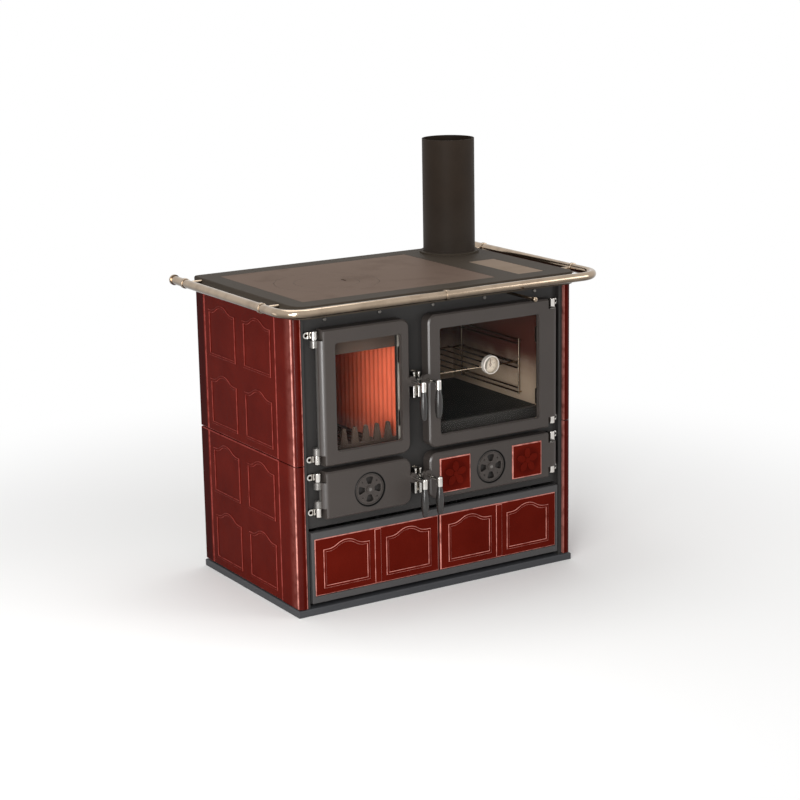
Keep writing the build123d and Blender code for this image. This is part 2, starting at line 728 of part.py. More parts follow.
def hob_side_plate():
    """The small plate at the right front, over the oven."""
    return loose_plate(SIDE_PLATE_X, side_plate_y(), SIDE_PLATE_W, SIDE_PLATE_D)


def hob_ring():
    """The lift-out ring, stepped outside to sit in the plate and inside to carry the disc."""
    low = HOB_TOP - RING_T
    ring = post(RING_X, RING_Y, low, HOB_TOP, RING_R)
    ring += post(RING_X, RING_Y, low - BOSS_DROP, low, RING_R - RING_STEP)
    ring -= post(RING_X, RING_Y, HOB_TOP - DISC_T, HOB_TOP + 1, DISC_R + SEAT_GAP)
    return ring - post(RING_X, RING_Y, low - BOSS_DROP - 1, HOB_TOP, DISC_R - DISC_STEP + SEAT_GAP)


def hob_disc():
    """The lift-out disc in the middle of the ring, with a slot for the lifting hook."""
    low = HOB_TOP - DISC_T
    disc = post(RING_X, RING_Y, low, HOB_TOP, DISC_R)
    disc += post(RING_X, RING_Y, low - BOSS_DROP, low, DISC_R - DISC_STEP)
    slot_x = RING_X + DISC_R * 0.6
    slot = block(-LIFT_SLOT_L / 2, LIFT_SLOT_L / 2, -LIFT_SLOT_W / 2, LIFT_SLOT_W / 2, low, HOB_TOP + 1)
    slot = fillet(slot.edges().filter_by(Axis.Z), LIFT_SLOT_W * 0.45)
    return disc - Pos(slot_x, RING_Y, 0) * Rot(0, 0, 90) * slot


# Flue

def flue_collar():
    """The cast spigot that takes the flue pipe."""
    collar = post(FLUE_X, FLUE_Y, HOB_TOP, HOB_TOP + FLANGE_H, FLANGE_R)
    collar = fillet(collar.edges().sort_by(Axis.Z)[-1], FLANGE_H / 3)
    collar += post(FLUE_X, FLUE_Y, HOB_TOP + FLANGE_H, HOB_TOP + FLANGE_H + SPIGOT_H, SPIGOT_R)
    return collar - post(FLUE_X, FLUE_Y, HOB_TOP - 1, HOB_TOP + FLANGE_H + SPIGOT_H + 1, FLUE_BORE_R)


def flue_pipe():
    """The first length of flue pipe, standing on the collar."""
    z0 = HOB_TOP + FLANGE_H
    z1 = z0 + PIPE_L
    pipe = post(FLUE_X, FLUE_Y, z0, z1, PIPE_R)
    return pipe - post(FLUE_X, FLUE_Y, z0 - 1, z1 + 1, PIPE_R - PIPE_WALL)


# Rail

def rail_half(side):
    """Half of the towel rail: from the join at the front, round the corner, to its end at the back."""
    bend_x = side * (RAIL_X - RAIL_BEND)
    bend_y = RAIL_Y + RAIL_BEND
    lean = RAIL_BEND * math.sqrt(0.5)
    knee = (bend_x + side * lean, bend_y - lean, RAIL_Z)
    route = [
        Line((RAIL_JOIN_X, RAIL_Y, RAIL_Z), (bend_x, RAIL_Y, RAIL_Z)),
        ThreePointArc((bend_x, RAIL_Y, RAIL_Z), knee, (side * RAIL_X, bend_y, RAIL_Z)),
        Line((side * RAIL_X, bend_y, RAIL_Z), (side * RAIL_X, RAIL_END_Y, RAIL_Z)),
    ]
    path = Wire(route)
    start = Plane(origin=(RAIL_JOIN_X, RAIL_Y, RAIL_Z), z_dir=(side, 0, 0))
    return sweep(start * (Circle(RAIL_R) - Circle(RAIL_R - RAIL_WALL)), path=path)


def rail_stay(length):
    """One stay: a sleeve round a tube along Y, with its arm reaching towards +X."""
    sleeve = rod_y(0, 0, -SLEEVE_L / 2, SLEEVE_L / 2, SLEEVE_R)
    sleeve = fillet(sleeve.edges().filter_by(GeomType.CIRCLE), 2)
    sleeve += rod_x(0, 0, 0, length, STAY_R)
    return sleeve - rod_y(0, 0, -SLEEVE_L, SLEEVE_L, RAIL_R + RAIL_FIT)


def rail_stays():
    """The five stays that hold the rail off the hob: two at each side and one over the front join."""
    side_stay = rail_stay(RAIL_SIDE_OFF)
    stays = []
    for y in (STAY_FRONT_Y, STAY_REAR_Y):
        stay = Pos(-RAIL_X, y, RAIL_Z) * side_stay
        stays += [stay, mirrored(stay)]
    stays.append(Pos(RAIL_JOIN_X, RAIL_Y, RAIL_Z) * Rot(0, 0, 90) * rail_stay(RAIL_FRONT_OFF))
    return Compound(children=stays)


def rail_finials():
    """The domed caps on the rail's two ends."""
    profile = make_face([
        Line((0, 0), (FINIAL_R, 0)),
        Line((FINIAL_R, 0), (FINIAL_R, FINIAL_BAND)),
        dome(FINIAL_R, FINIAL_BAND, FINIAL_L),
        Line((0, FINIAL_L), (0, 0)),
    ])
    cap = revolve(profile, Axis.Y)
    left = Pos(-RAIL_X, RAIL_END_Y, RAIL_Z) * cap
    return Compound(children=[left, mirrored(left)])


# Hinges

def door_hinges():
    """Each door's hinge: its line at x, the side it opens from and the door's two heights."""
    return [
        (LEFT_HINGE_X, -1, DOOR_BOTTOM, DOOR_TOP),
        (LEFT_HINGE_X, -1, LOWER_BOTTOM, LOWER_TOP),
        (RIGHT_HINGE_X, 1, DOOR_BOTTOM, DOOR_TOP),
        (RIGHT_HINGE_X, 1, LOWER_BOTTOM, LOWER_TOP),
    ]


def hinge_bracket(x, side, z0, pin_z):
    """A knuckle with its pin, on an arm that ends in a bored eye against the front frame."""
    z1 = z0 + KNUCKLE_H
    bracket = post(x, HINGE_Y, z0, z1, KNUCKLE_R)
    bracket = fillet(bracket.edges().filter_by(GeomType.CIRCLE), 2)
    middle = (z0 + z1) / 2
    low, high = middle - BRACKET_H / 2, middle + BRACKET_H / 2
    eye_x = x + side * (BRACKET_L - BRACKET_H / 2)
    arm = sorted((x, eye_x))
    bracket += block(arm[0], arm[1], FRAME_Y - BRACKET_T, FRAME_Y, low, high)
    bracket += rod_y(eye_x, middle, FRAME_Y - BRACKET_T, FRAME_Y, BRACKET_H / 2)
    neck = sorted((x - side * KNUCKLE_R * 0.6, x + side * KNUCKLE_R * 0.8))
    bracket += block(neck[0], neck[1], HINGE_Y, FRAME_Y, low, high)
    bracket -= rod_y(eye_x, middle, FRAME_Y - BRACKET_T - 1, FRAME_Y - BRACKET_T + EYE_DEEP, EYE_R)
    return bracket + post(x, HINGE_Y, min(pin_z, z0), max(pin_z, z1), PIN_R)


def hinge_brackets():
    """Two brackets for each of the four doors, their pins pointing at each other."""
    reach = HINGE_GAP + LUG_H - 2
    brackets = []
    for x, side, bottom, top in door_hinges():
        low = bottom + HINGE_INSET
        brackets.append(hinge_bracket(x, side, low, low + KNUCKLE_H + reach))
        high = top - HINGE_INSET - KNUCKLE_H
        brackets.append(hinge_bracket(x, side, high, high - reach))
    return Compound(children=brackets)


def notch_place(side):
    """How far in the notches for the knuckles reach, on the left doors or the right ones."""
    return LEFT_HINGE_X + LEFT_NOTCH_IN if side < 0 else RIGHT_HINGE_X - RIGHT_NOTCH_IN


def hinged_edge(door, hinge_x, barrel_x, bottom, top):
    """Notches both ends of the edge for the frame's knuckles and adds the door's two bored lugs."""
    side = 1 if hinge_x > barrel_x else -1
    x0, x1 = sorted((notch_place(side), hinge_x + side * DOOR_T))
    deep = HINGE_INSET + KNUCKLE_H + HINGE_GAP
    for z0, z1 in ((bottom - 1, bottom + deep), (top - deep, top + 1)):
        door -= block(x0, x1, DOOR_FACE_Y - 1, DOOR_BACK_Y + 1, z0, z1)
    low = bottom + HINGE_INSET + KNUCKLE_H + HINGE_GAP
    high = top - HINGE_INSET - KNUCKLE_H - HINGE_GAP - LUG_H
    for z in (low, high):
        lug = post(hinge_x, HINGE_Y, z, z + LUG_H, LUG_R)
        web = sorted((hinge_x, barrel_x))
        lug += block(web[0], web[1], HINGE_Y - LUG_R * 0.7, HINGE_Y + LUG_R * 0.7, z, z + LUG_H)
        door += lug
        door -= post(hinge_x, HINGE_Y, z - 1, z + LUG_H + 1, PIN_R + PIN_FIT)
    return door


# Doors

def door_casting(barrel_x, latch_x, bottom, top):
    """A cast door: flat face, soft front edges, round latch corners and a half-round hinge edge."""
    side = 1 if barrel_x > latch_x else -1
    x0, x1 = sorted((barrel_x, latch_x))
    door = block(x0, x1, DOOR_FACE_Y, DOOR_BACK_Y, bottom, top)
    corners = door.edges().filter_by(Axis.Y).sort_by(Axis.X)
    corners = corners[:2] if side > 0 else corners[2:]
    door = fillet(corners, DOOR_CORNER)
    door += post(barrel_x, DOOR_MID_Y, bottom, top, DOOR_T / 2)
    front = door.faces().filter_by(Axis.Y).sort_by(Axis.Y)[0]
    rims = [e for e in front.edges() if abs(e.center().X - barrel_x) > 1]
    return chamfer(rims, DOOR_EDGE * 0.6)


def hollow_back(door, barrel_x, latch_x, bottom, top, wall):
    """Lightens the casting from behind, leaving a front wall and a rim."""
    side = 1 if barrel_x > latch_x else -1
    rim_x = barrel_x - side * POCKET_RIM / 2
    wall_x = notch_place(side) - side * NOTCH_WALL
    hinge_side = min(rim_x, wall_x) if side > 0 else max(rim_x, wall_x)
    latch_side = latch_x + side * POCKET_RIM * 0.6
    x0, x1 = sorted((hinge_side, latch_side))
    pocket = (x0, x1, bottom + POCKET_RIM, top - POCKET_RIM)
    return door - opening(pocket, DOOR_FACE_Y + wall, DOOR_BACK_Y + 1, DOOR_CORNER * 0.6)


def latch_ear(door, spindle_x, z):
    """The round ear at the latch edge that carries the handle's spindle."""
    door += rod_y(spindle_x, z, DOOR_FACE_Y, DOOR_FACE_Y + EAR_T, EAR_R)
    return door - rod_y(spindle_x, z, DOOR_FACE_Y - 1, DOOR_FACE_Y + EAR_T + 1, SPINDLE_R + PIN_FIT)


def door_body(left, bottom, top, wall, latch_z):
    """A plain door with its hinge edge, hollow back and latch ear."""
    barrel_x = LEFT_BARREL_X if left else RIGHT_BARREL_X
    hinge_x = LEFT_HINGE_X if left else RIGHT_HINGE_X
    latch_x = LEFT_LATCH_X if left else RIGHT_LATCH_X
    door = door_casting(barrel_x, latch_x, bottom, top)
    door = hollow_back(door, barrel_x, latch_x, bottom, top, wall)
    door = hinged_edge(door, hinge_x, barrel_x, bottom, top)
    return latch_ear(door, spindle_place(left), latch_z)


def spindle_place(left):
    """The handles stand either side of the middle post."""
    return POST_X - SPINDLE_OFF if left else POST_X + SPINDLE_OFF


def window_cut(door, window):
    """Opens the window and bevels its front edge."""
    door -= opening(window, DOOR_FACE_Y - 1, GLASS_FACE_Y + 1, WINDOW_CORNER)
    bevel = opening(grown(window, 3), DOOR_FACE_Y - 1, DOOR_FACE_Y + 3, WINDOW_CORNER + 3)
    return door - bevel


def fire_door():
    """The firebox door casting."""
    return window_cut(door_body(True, DOOR_BOTTOM, DOOR_TOP, WINDOW_WALL, UPPER_LATCH_Z), FIRE_WINDOW)


def oven_door():
    """The oven door casting."""
    return window_cut(door_body(False, DOOR_BOTTOM, DOOR_TOP, WINDOW_WALL, UPPER_LATCH_Z), OVEN_WINDOW)


def door_glass(window):
    """A pane lapping the window from behind."""
    return opening(grown(window, GLASS_LAP), GLASS_FACE_Y, GLASS_FACE_Y + GLASS_T, WINDOW_CORNER)


def glass_clips(window):
    """Four spring clips that hold a pane against the door's front wall."""
    x0, x1, z0, z1 = window
    y0 = GLASS_FACE_Y + GLASS_T
    clips = []
    for z in (z0 + (z1 - z0) * 0.2, z0 + (z1 - z0) * 0.8):
        for edge, inward in ((x0 - GLASS_LAP, 1), (x1 + GLASS_LAP, -1)):
            xs = sorted((edge - inward * CLIP_W / 3, edge + inward * CLIP_W * 2 / 3))
            clip = block(xs[0], xs[1], y0, y0 + CLIP_T, z - CLIP_L / 2, z + CLIP_L / 2)
            foot = sorted((edge - inward * CLIP_W / 3, edge - inward * SEAT_GAP))
            clip += block(foot[0], foot[1], GLASS_FACE_Y, y0, z - CLIP_L / 2, z + CLIP_L / 2)
            clips.append(clip)
    return Compound(children=clips)


# Air regulator and rosette

def lobe(depth):
    """One air opening: a ring sector with rounded corners, pointing up from a centre at the origin."""
    half = math.radians(LOBE_SPAN / 2)

    def at(radius, angle):
        return (radius * math.sin(angle), radius * math.cos(angle))

    face = make_face([
        ThreePointArc(at(LOBE_IN_R, -half), at(LOBE_IN_R, 0), at(LOBE_IN_R, half)),
        Line(at(LOBE_IN_R, half), at(LOBE_OUT_R, half)),
        ThreePointArc(at(LOBE_OUT_R, half), at(LOBE_OUT_R, 0), at(LOBE_OUT_R, -half)),
        Line(at(LOBE_OUT_R, -half), at(LOBE_IN_R, -half)),
    ])
    face = fillet(face.vertices(), LOBE_ROUND)
    return extrude(Plane.XZ * face, amount=depth)


def lobes(x, z, y_back, depth, turn=0.0):
    """The ring of air openings, reaching forward from y_back and turned by a share of their pitch."""
    cutter = lobe(depth)
    pitch = 360 / ROSETTE_LOBES
    return [Pos(x, y_back, z) * Rot(0, pitch * (i + turn), 0) * cutter for i in range(ROSETTE_LOBES)]


def rosette_seat(door, x):
    """The round recess that a rosette sits in."""
    seat_y = DOOR_FACE_Y + ROSETTE_SEAT
    return door - rod_y(x, ROSETTE_Z, DOOR_FACE_Y - 1, seat_y, ROSETTE_R + ROSETTE_GAP)


def rosette(x):
    """The cast disc: raised boss, lobed openings, a ring of dimples and a turned groove."""
    seat_y = DOOR_FACE_Y + ROSETTE_SEAT
    face_y = seat_y - ROSETTE_T
    disc = rod_y(x, ROSETTE_Z, face_y, seat_y, ROSETTE_R)
    disc = chamfer(disc.edges().filter_by(GeomType.CIRCLE).sort_by(Axis.Y)[0], 1.5)
    disc += rod_y(x, ROSETTE_Z, face_y - BOSS_H, face_y, BOSS_R)
    groove = rod_y(x, ROSETTE_Z, face_y - 1, face_y + GROOVE_DEEP, GROOVE_R)
    disc -= groove - rod_y(x, ROSETTE_Z, face_y - 2, face_y + ROSETTE_T, GROOVE_R - GROOVE_W)
    for cutter in lobes(x, ROSETTE_Z, seat_y + 1, ROSETTE_T + 2):
        disc -= cutter
    for i in range(ROSETTE_LOBES):
        angle = math.radians(360 / ROSETTE_LOBES * (i + 0.5))
        dimple_x = x + DIMPLE_RING * math.sin(angle)
        dimple_z = ROSETTE_Z + DIMPLE_RING * math.cos(angle)
        disc -= rod_y(dimple_x, dimple_z, face_y - 1, face_y + DIMPLE_DEEP, DIMPLE_R)
    return disc - rod_y(x, ROSETTE_Z, face_y - BOSS_H - 1, seat_y + 1, STUD_R + PIN_FIT)


def rosette_stud(door, x):
    """The stud that a rosette sits on."""
    seat_y = DOOR_FACE_Y + ROSETTE_SEAT
    return door + rod_y(x, ROSETTE_Z, seat_y - ROSETTE_T - BOSS_H - STUD_PROUD, seat_y, STUD_R)


def ash_door():
    """The ash door: its air openings lie behind the regulator's solid stretches until that is turned."""
    door = door_body(True, LOWER_BOTTOM, LOWER_TOP, PANEL_WALL, LOWER_LATCH_Z)
    door = rosette_seat(door, ROSETTE_X)
    back = DOOR_FACE_Y + PANEL_WALL + 1
    for cutter in lobes(ROSETTE_X, ROSETTE_Z, back, PANEL_WALL - ROSETTE_SEAT + 2, 0.5):
        door -= cutter
    return rosette_stud(door, ROSETTE_X)


def small_tile_places():
    """The two square tiles stand either side of the lower door's rosette."""
    return [LOWER_ROSETTE_X - SMALL_TILE_OFF, LOWER_ROSETTE_X + SMALL_TILE_OFF]


def small_tile_box(x, margin):
    """A square tile's outline, made larger by a margin."""
    half_w = SMALL_TILE_W / 2 + margin
    half_h = SMALL_TILE_H / 2 + margin
    return (x - half_w, x + half_w, ROSETTE_Z - half_h, ROSETTE_Z + half_h)


def lower_door():
    """The door below the oven: a rosette between two tile seats."""
    door = door_body(False, LOWER_BOTTOM, LOWER_TOP, PANEL_WALL, LOWER_LATCH_Z)
    door = rosette_seat(door, LOWER_ROSETTE_X)
    for x in small_tile_places():
        box = small_tile_box(x, SMALL_TILE_FIT)
        door -= opening(box, DOOR_FACE_Y - 1, DOOR_FACE_Y + SMALL_TILE_SEAT)
    return rosette_stud(door, LOWER_ROSETTE_X)


def tile_flower():
    """The low flower moulded on a square tile: petals round an eye, standing on the XZ plane."""
    half_w, half_l = FLOWER_R * PETAL_WIDTH / 2, FLOWER_R * PETAL_LENGTH / 2
    petal = extrude(Plane.XZ * Pos(0, FLOWER_R - half_l) * Ellipse(half_w, half_l), amount=FLOWER_H)
    flower = [Rot(0, 360 / FLOWER_PETALS * i, 0) * petal for i in range(FLOWER_PETALS)]
    return flower + [extrude(Plane.XZ * Circle(FLOWER_R * FLOWER_EYE), amount=2 * FLOWER_H)]


def lower_door_tiles():
    """The two square glazed tiles on the lower door."""
    y0, y1 = DOOR_FACE_Y - SMALL_TILE_PROUD, DOOR_FACE_Y + SMALL_TILE_SEAT
    tiles = []
    for x in small_tile_places():
        tile = opening(small_tile_box(x, 0), y0, y1)
        tile = fillet(tile.faces().sort_by(Axis.Y)[0].edges(), SMALL_TILE_PROUD * 0.8)
        tiles.append(tile + [Pos(x, y0, ROSETTE_Z) * piece for piece in tile_flower()])
    return Compound(children=tiles)


# Handles

def handle_lever(left, z):
    """A spindle with its latch arm behind the ear and a ferrule at its front end."""
    x = spindle_place(left)
    inward = 1 if left else -1
    arm_back = ARM_FRONT_Y + ARM_T
    lever = rod_y(x, z, HANDLE_Y, arm_back, SPINDLE_R)
    lever += rod_y(x, z, ARM_FRONT_Y, arm_back, HUB_R)
    arm = sorted((x, x + inward * ARM_L))
    lever += block(arm[0], arm[1], ARM_FRONT_Y, arm_back, z - ARM_H / 2, z + ARM_H / 2)
    ferrule = post(x, HANDLE_Y, z - FERRULE_DOWN, z + FERRULE_UP, FERRULE_R)
    ferrule = fillet(ferrule.edges().sort_by(Axis.Z)[-1], FERRULE_R * 0.7)
    return lever + ferrule


def handle_grip(left, z):
    """The turned grip that hangs from the ferrule."""
    top = z - FERRULE_DOWN
    end = GRIP_END_RISE - GRIP_L
    profile = make_face([
        Line((0, 0), (GRIP_NECK_R, 0)),
        Spline((GRIP_NECK_R, 0), (GRIP_BELLY_R, -GRIP_BELLY_DOWN), (GRIP_END_R, end)),
        dome(GRIP_END_R, end, -GRIP_L),
        Line((0, -GRIP_L), (0, 0)),
    ])
    return Pos(spindle_place(left), HANDLE_Y, top) * revolve(Plane.XZ * profile, Axis.Z)


def latch_keeper(z):
    """A keeper on the middle post: two ribs, slotted where the latch arms come in."""
    back = FRAME_Y
    low, high = z - KEEPER_DOWN, z + KEEPER_UP
    keeper = block(POST_X - KEEPER_W / 2, POST_X + KEEPER_W / 2, back - KEEPER_T, back, low, high)
    slot = (POST_X - KEEPER_W, POST_X + KEEPER_W, z - KEEPER_SLOT_DOWN, z + KEEPER_SLOT_UP)
    for side in (-1, 1):
        x = POST_X + side * KEEPER_RIB_OFF
        half = KEEPER_RIB_W / 2
        rib = block(x - half, x + half, back - KEEPER_RIB_OUT, back - KEEPER_T, low, high)
        keeper += fillet(rib.faces().sort_by(Axis.Y)[0].edges(), KEEPER_RIB_W * 0.4)
    front = back - KEEPER_RIB_OUT
    return keeper - opening(slot, front - 1, front + KEEPER_SLOT_DEEP)


def latch_keepers():
    """The upper and the lower keeper."""
    return Compound(children=[latch_keeper(UPPER_LATCH_Z), latch_keeper(LOWER_LATCH_Z)])


# Oven thermometer

def thermometer_case():
    """A round case on the oven glass, open at the front, with the needle's pivot in its floor."""
    y1 = GLASS_FACE_Y
    y0 = y1 - DIAL_DEEP
    case = rod_y(DIAL_X, DIAL_Z, y0, y1, DIAL_R)
    case = fillet(case.edges().filter_by(GeomType.CIRCLE).sort_by(Axis.Y)[0], DIAL_WALL * 0.6)
    case -= rod_y(DIAL_X, DIAL_Z, y0 - 1, y1 - DIAL_FLOOR, DIAL_R - DIAL_WALL)
    pin_end = y1 - DIAL_FLOOR - NEEDLE_LIFT - NEEDLE_T - 1
    return case + rod_y(DIAL_X, DIAL_Z, pin_end, y1 - DIAL_FLOOR, NEEDLE_PIN_R)


def thermometer_needle():
    """The pointer, bored for the case's pivot and pointing up at rest."""
    y1 = GLASS_FACE_Y - DIAL_FLOOR - NEEDLE_LIFT
    y0 = y1 - NEEDLE_T
    needle = rod_y(DIAL_X, DIAL_Z, y0, y1, NEEDLE_HUB_R)
    half = NEEDLE_W / 2
    needle += block(DIAL_X - half, DIAL_X + half, y0, y1, DIAL_Z - NEEDLE_L / 3, DIAL_Z + NEEDLE_L)
    return needle - rod_y(DIAL_X, DIAL_Z, y0 - 1, y1 + 1, NEEDLE_PIN_R + PIN_FIT)


# Wood drawer

def drawer_front():
    """The drawer's dark front frame, with a recess that takes the two tiles."""
    front = block(-DRAWER_HALF, DRAWER_HALF, DRAWER_FACE_Y, DOOR_BACK_Y, DRAWER_BOTTOM, DRAWER_TOP)
    front = chamfer(front.faces().sort_by(Axis.Y)[0].edges(), 2)
    half = DRAWER_HALF - DRAWER_END_BAR
    recess = (-half, half, DRAWER_BOTTOM + DRAWER_BAR, DRAWER_TOP - DRAWER_BAR)
    return front - opening(recess, DRAWER_FACE_Y - 1, DRAWER_FACE_Y + DRAWER_TILE_SEAT)


def drawer_mould(height):
    """The upright band between a tile's two panels."""
    half, face = DRAWER_MOULD_W / 2, -DRAWER_TILE_T
    band = block(-half, half, face - DRAWER_MOULD_H, face, TILE_EDGE, height - TILE_EDGE)
    return fillet(band.faces().sort_by(Axis.Y)[0].edges(), DRAWER_MOULD_H * 0.9)


def drawer_tiles():
    """Two wide glazed tiles with two arched panels each and a band between them."""
    width = DRAWER_HALF - DRAWER_END_BAR - DRAWER_TILE_MID_GAP / 2 - SMALL_TILE_FIT
    height = DRAWER_TOP - DRAWER_BOTTOM - 2 * DRAWER_BAR - 2 * SMALL_TILE_FIT
    panel = (DRAWER_PANEL_W, DRAWER_PANEL_H, DRAWER_PANEL_RISE, PANEL_SHOULDER)
    tile = embossed_tile(width, height, DRAWER_TILE_T, 2, 1, panel, DRAWER_PANEL_SILL)
    tile += drawer_mould(height)
    x = (DRAWER_TILE_MID_GAP + width) / 2
    y = DRAWER_FACE_Y + DRAWER_TILE_SEAT
    z = DRAWER_BOTTOM + DRAWER_BAR + SMALL_TILE_FIT
    return Compound(children=[Pos(-x, y, z) * tile, Pos(x, y, z) * tile])


def drawer_box():
    """The drawer's open steel box, with a glide folded out along each side."""
    half, t = DRAWER_BOX_HALF, DRAWER_SHEET
    y0, y1 = DOOR_BACK_Y, DRAWER_BOX_BACK
    z0, z1 = DRAWER_BOX_BOTTOM, DRAWER_BOX_TOP
    box = block(-half, half, y0, y1, z0, z1)
    box -= block(t - half, half - t, y0 + t, y1 - t, z0 + t, z1 + 1)
    glide_front = FRAME_BACK_Y + SHEET + 1
    for side in (-1, 1):
        x0, x1 = sorted((side * DRAWER_BOX_HALF, side * (DRAWER_BOX_HALF + GLIDE_W)))
        box += block(x0, x1, glide_front, DRAWER_BOX_BACK, GLIDE_Z, GLIDE_Z + GLIDE_T)
    return box


def drawer_runners():
    """The two ledges, fixed to the casing, that the drawer's glides run on."""
    top = GLIDE_Z - RUN_GAP
    outer = CASING_X - SHEET
    inner = DRAWER_BOX_HALF + GLIDE_W - RUNNER_LAP
    runner = block(inner, outer, FRAME_BACK_Y + SHEET, DRAWER_BOX_BACK, top - RUNNER_T, top)
    return Compound(children=[runner, mirrored(runner)])


# Firebox

def firebox_shell():
    """The welded firebox: ash space below, a ledge for the grate, open at the front and the top."""
    y0 = FRAME_BACK_Y
    z0 = ASH_FLOOR - SHELL_T
    shell = block(FIRE_X0, FIRE_X1, y0, FIRE_BACK, z0, FIRE_TOP)
    x0, x1, y1 = FIRE_X0 + SHELL_T, FIRE_X1 - SHELL_T, FIRE_BACK - SHELL_T
    ledge = GRATE_LEDGE_Z - SHELL_T
    shell -= block(x0, x1, y0 - 1, y1, GRATE_LEDGE_Z, FIRE_TOP + 1)
    shell -= block(x0, x1, y0 - 1, y1, ASH_FLOOR, ledge)
    mouth = GRATE_LEDGE_W
    return shell - block(x0 + mouth, x1 - mouth, y0 + mouth, y1 - mouth, ledge - 1, GRATE_LEDGE_Z + 1)


def ribbed_plate(length, height):
    """A lining plate with its back on y = 0 and upright ribs standing towards -Y."""
    plate = block(-length / 2, length / 2, -LINING_T, 0, 0, height)
    count = int(length / LINING_PITCH)
    profile = make_face([
        Line((-LINING_PITCH * 0.42, 0), (LINING_PITCH * 0.42, 0)),
        Line((LINING_PITCH * 0.42, 0), (LINING_PITCH * 0.2, LINING_RIB)),
        Line((LINING_PITCH * 0.2, LINING_RIB), (-LINING_PITCH * 0.2, LINING_RIB)),
        Line((-LINING_PITCH * 0.2, LINING_RIB), (-LINING_PITCH * 0.42, 0)),
    ])
    rib = extrude(Rot(0, 0, 180) * profile, amount=height)
    ribs = [Pos((i - (count - 1) / 2) * LINING_PITCH, -LINING_T, 0) * rib for i in range(count)]
    return plate + ribs


def lining_side_length():
    """How deep the side linings are, from the front frame to the back lining."""
    return FIRE_BACK - SHELL_T - LINING_FULL - SEAT_GAP - FRAME_BACK_Y - SEAT_GAP


def lining_side(x, turn):
    """One side lining, its back on the shell's wall at x."""
    length = lining_side_length()
    plate = ribbed_plate(length, LINING_TOP - GRATE_LEDGE_Z)
    return Pos(x, FRAME_BACK_Y + SEAT_GAP + length / 2, GRATE_LEDGE_Z) * Rot(0, 0, turn) * plate


def lining_left():
    """The left firebox lining."""
    return lining_side(FIRE_X0 + SHELL_T, 90)


def lining_right():
    """The right firebox lining, the one seen through the glass."""
    return lining_side(FIRE_X1 - SHELL_T, -90)


def lining_back():
    """The back firebox lining."""
    width = FIRE_X1 - FIRE_X0 - 2 * SHELL_T - 2 * SEAT_GAP
    plate = ribbed_plate(width, LINING_TOP - GRATE_LEDGE_Z)
    return Pos((FIRE_X0 + FIRE_X1) / 2, FIRE_BACK - SHELL_T, GRATE_LEDGE_Z) * plate


def fire_floor():
    """The space between the linings that the grate fills."""
    x0 = FIRE_X0 + SHELL_T + LINING_FULL + GRATE_GAP
    x1 = FIRE_X1 - SHELL_T - LINING_FULL - GRATE_GAP
    y0 = FRAME_BACK_Y + RETAINER_T + 2 * GRATE_GAP
    y1 = FIRE_BACK - SHELL_T - LINING_FULL - GRATE_GAP
    return x0, x1, y0, y1


def grate():
    """The cast grate, slotted along its length."""
    x0, x1, y0, y1 = fire_floor()
    plate = block(x0, x1, y0, y1, GRATE_LEDGE_Z, GRATE_LEDGE_Z + GRATE_T)
    pitch = (x1 - x0 - 2 * GRATE_RIM + GRATE_BAR) / GRATE_SLOTS
    for i in range(GRATE_SLOTS):
        x = x0 + GRATE_RIM + i * pitch
        width = pitch - GRATE_BAR
        plate -= block(x, x + width, y0 + 2 * GRATE_RIM, y1 - 2 * GRATE_RIM, GRATE_LEDGE_Z - 1, FIRE_TOP)
    return plate


def log_retainer():
    """The cast comb behind the door that keeps logs off the glass."""
    y0 = FRAME_BACK_Y + GRATE_GAP
    x0, x1, _, _ = fire_floor()
    comb = block(x0, x1, y0, y0 + RETAINER_T, GRATE_LEDGE_Z, GRATE_LEDGE_Z + RETAINER_BAR_H)
    base, tip = FINGER_BASE_W / 2, FINGER_TIP_W / 2
    shape = make_face([
        Line((-base, 0), (base, 0)),
        Line((base, 0), (tip, FINGER_H - tip)),
        ThreePointArc((tip, FINGER_H - tip), (0, FINGER_H), (-tip, FINGER_H - tip)),
        Line((-tip, FINGER_H - tip), (-base, 0)),
    ])
    finger = extrude(Plane.XZ * shape, amount=RETAINER_T)
    z = GRATE_LEDGE_Z + RETAINER_BAR_H
    for i in range(RETAINER_FINGERS):
        x = RETAINER_X + (i - (RETAINER_FINGERS - 1) / 2) * RETAINER_PITCH
        comb += Pos(x, y0 + RETAINER_T, z) * finger
    return comb


def smoke_baffle():
    """The plate behind the top of the fire door that turns the smoke back over the fire."""
    x0, x1, _, _ = fire_floor()
    y0 = FRAME_BACK_Y
    baffle = block(x0, x1, y0, y0 + BAFFLE_T, BAFFLE_BOTTOM, BAFFLE_TOP)
    return chamfer(baffle.edges().filter_by(Axis.X).sort_by(Axis.Z)[0:2], 1.5)


def ash_pan():
    """The pan under the grate, standing on the firebox floor, with a lip to pull it by."""
    x0, x1, _, _ = ASH_OPEN
    x0, x1 = x0 + PAN_MARGIN, x1 - PAN_MARGIN
    y0, y1 = FRAME_BACK_Y + SEAT_GAP, PAN_BACK
    pan = block(x0, x1, y0, y1, ASH_FLOOR, ASH_FLOOR + PAN_H)
    t = PAN_SHEET
    pan -= block(x0 + t, x1 - t, y0 + t, y1 - t, ASH_FLOOR + t, ASH_FLOOR + PAN_H + 1)
    top = ASH_FLOOR + PAN_H
    return pan + block(x0 + PAN_LIP_IN, x1 - PAN_LIP_IN, y0 - PAN_LIP, y0, top - t, top)


# Oven

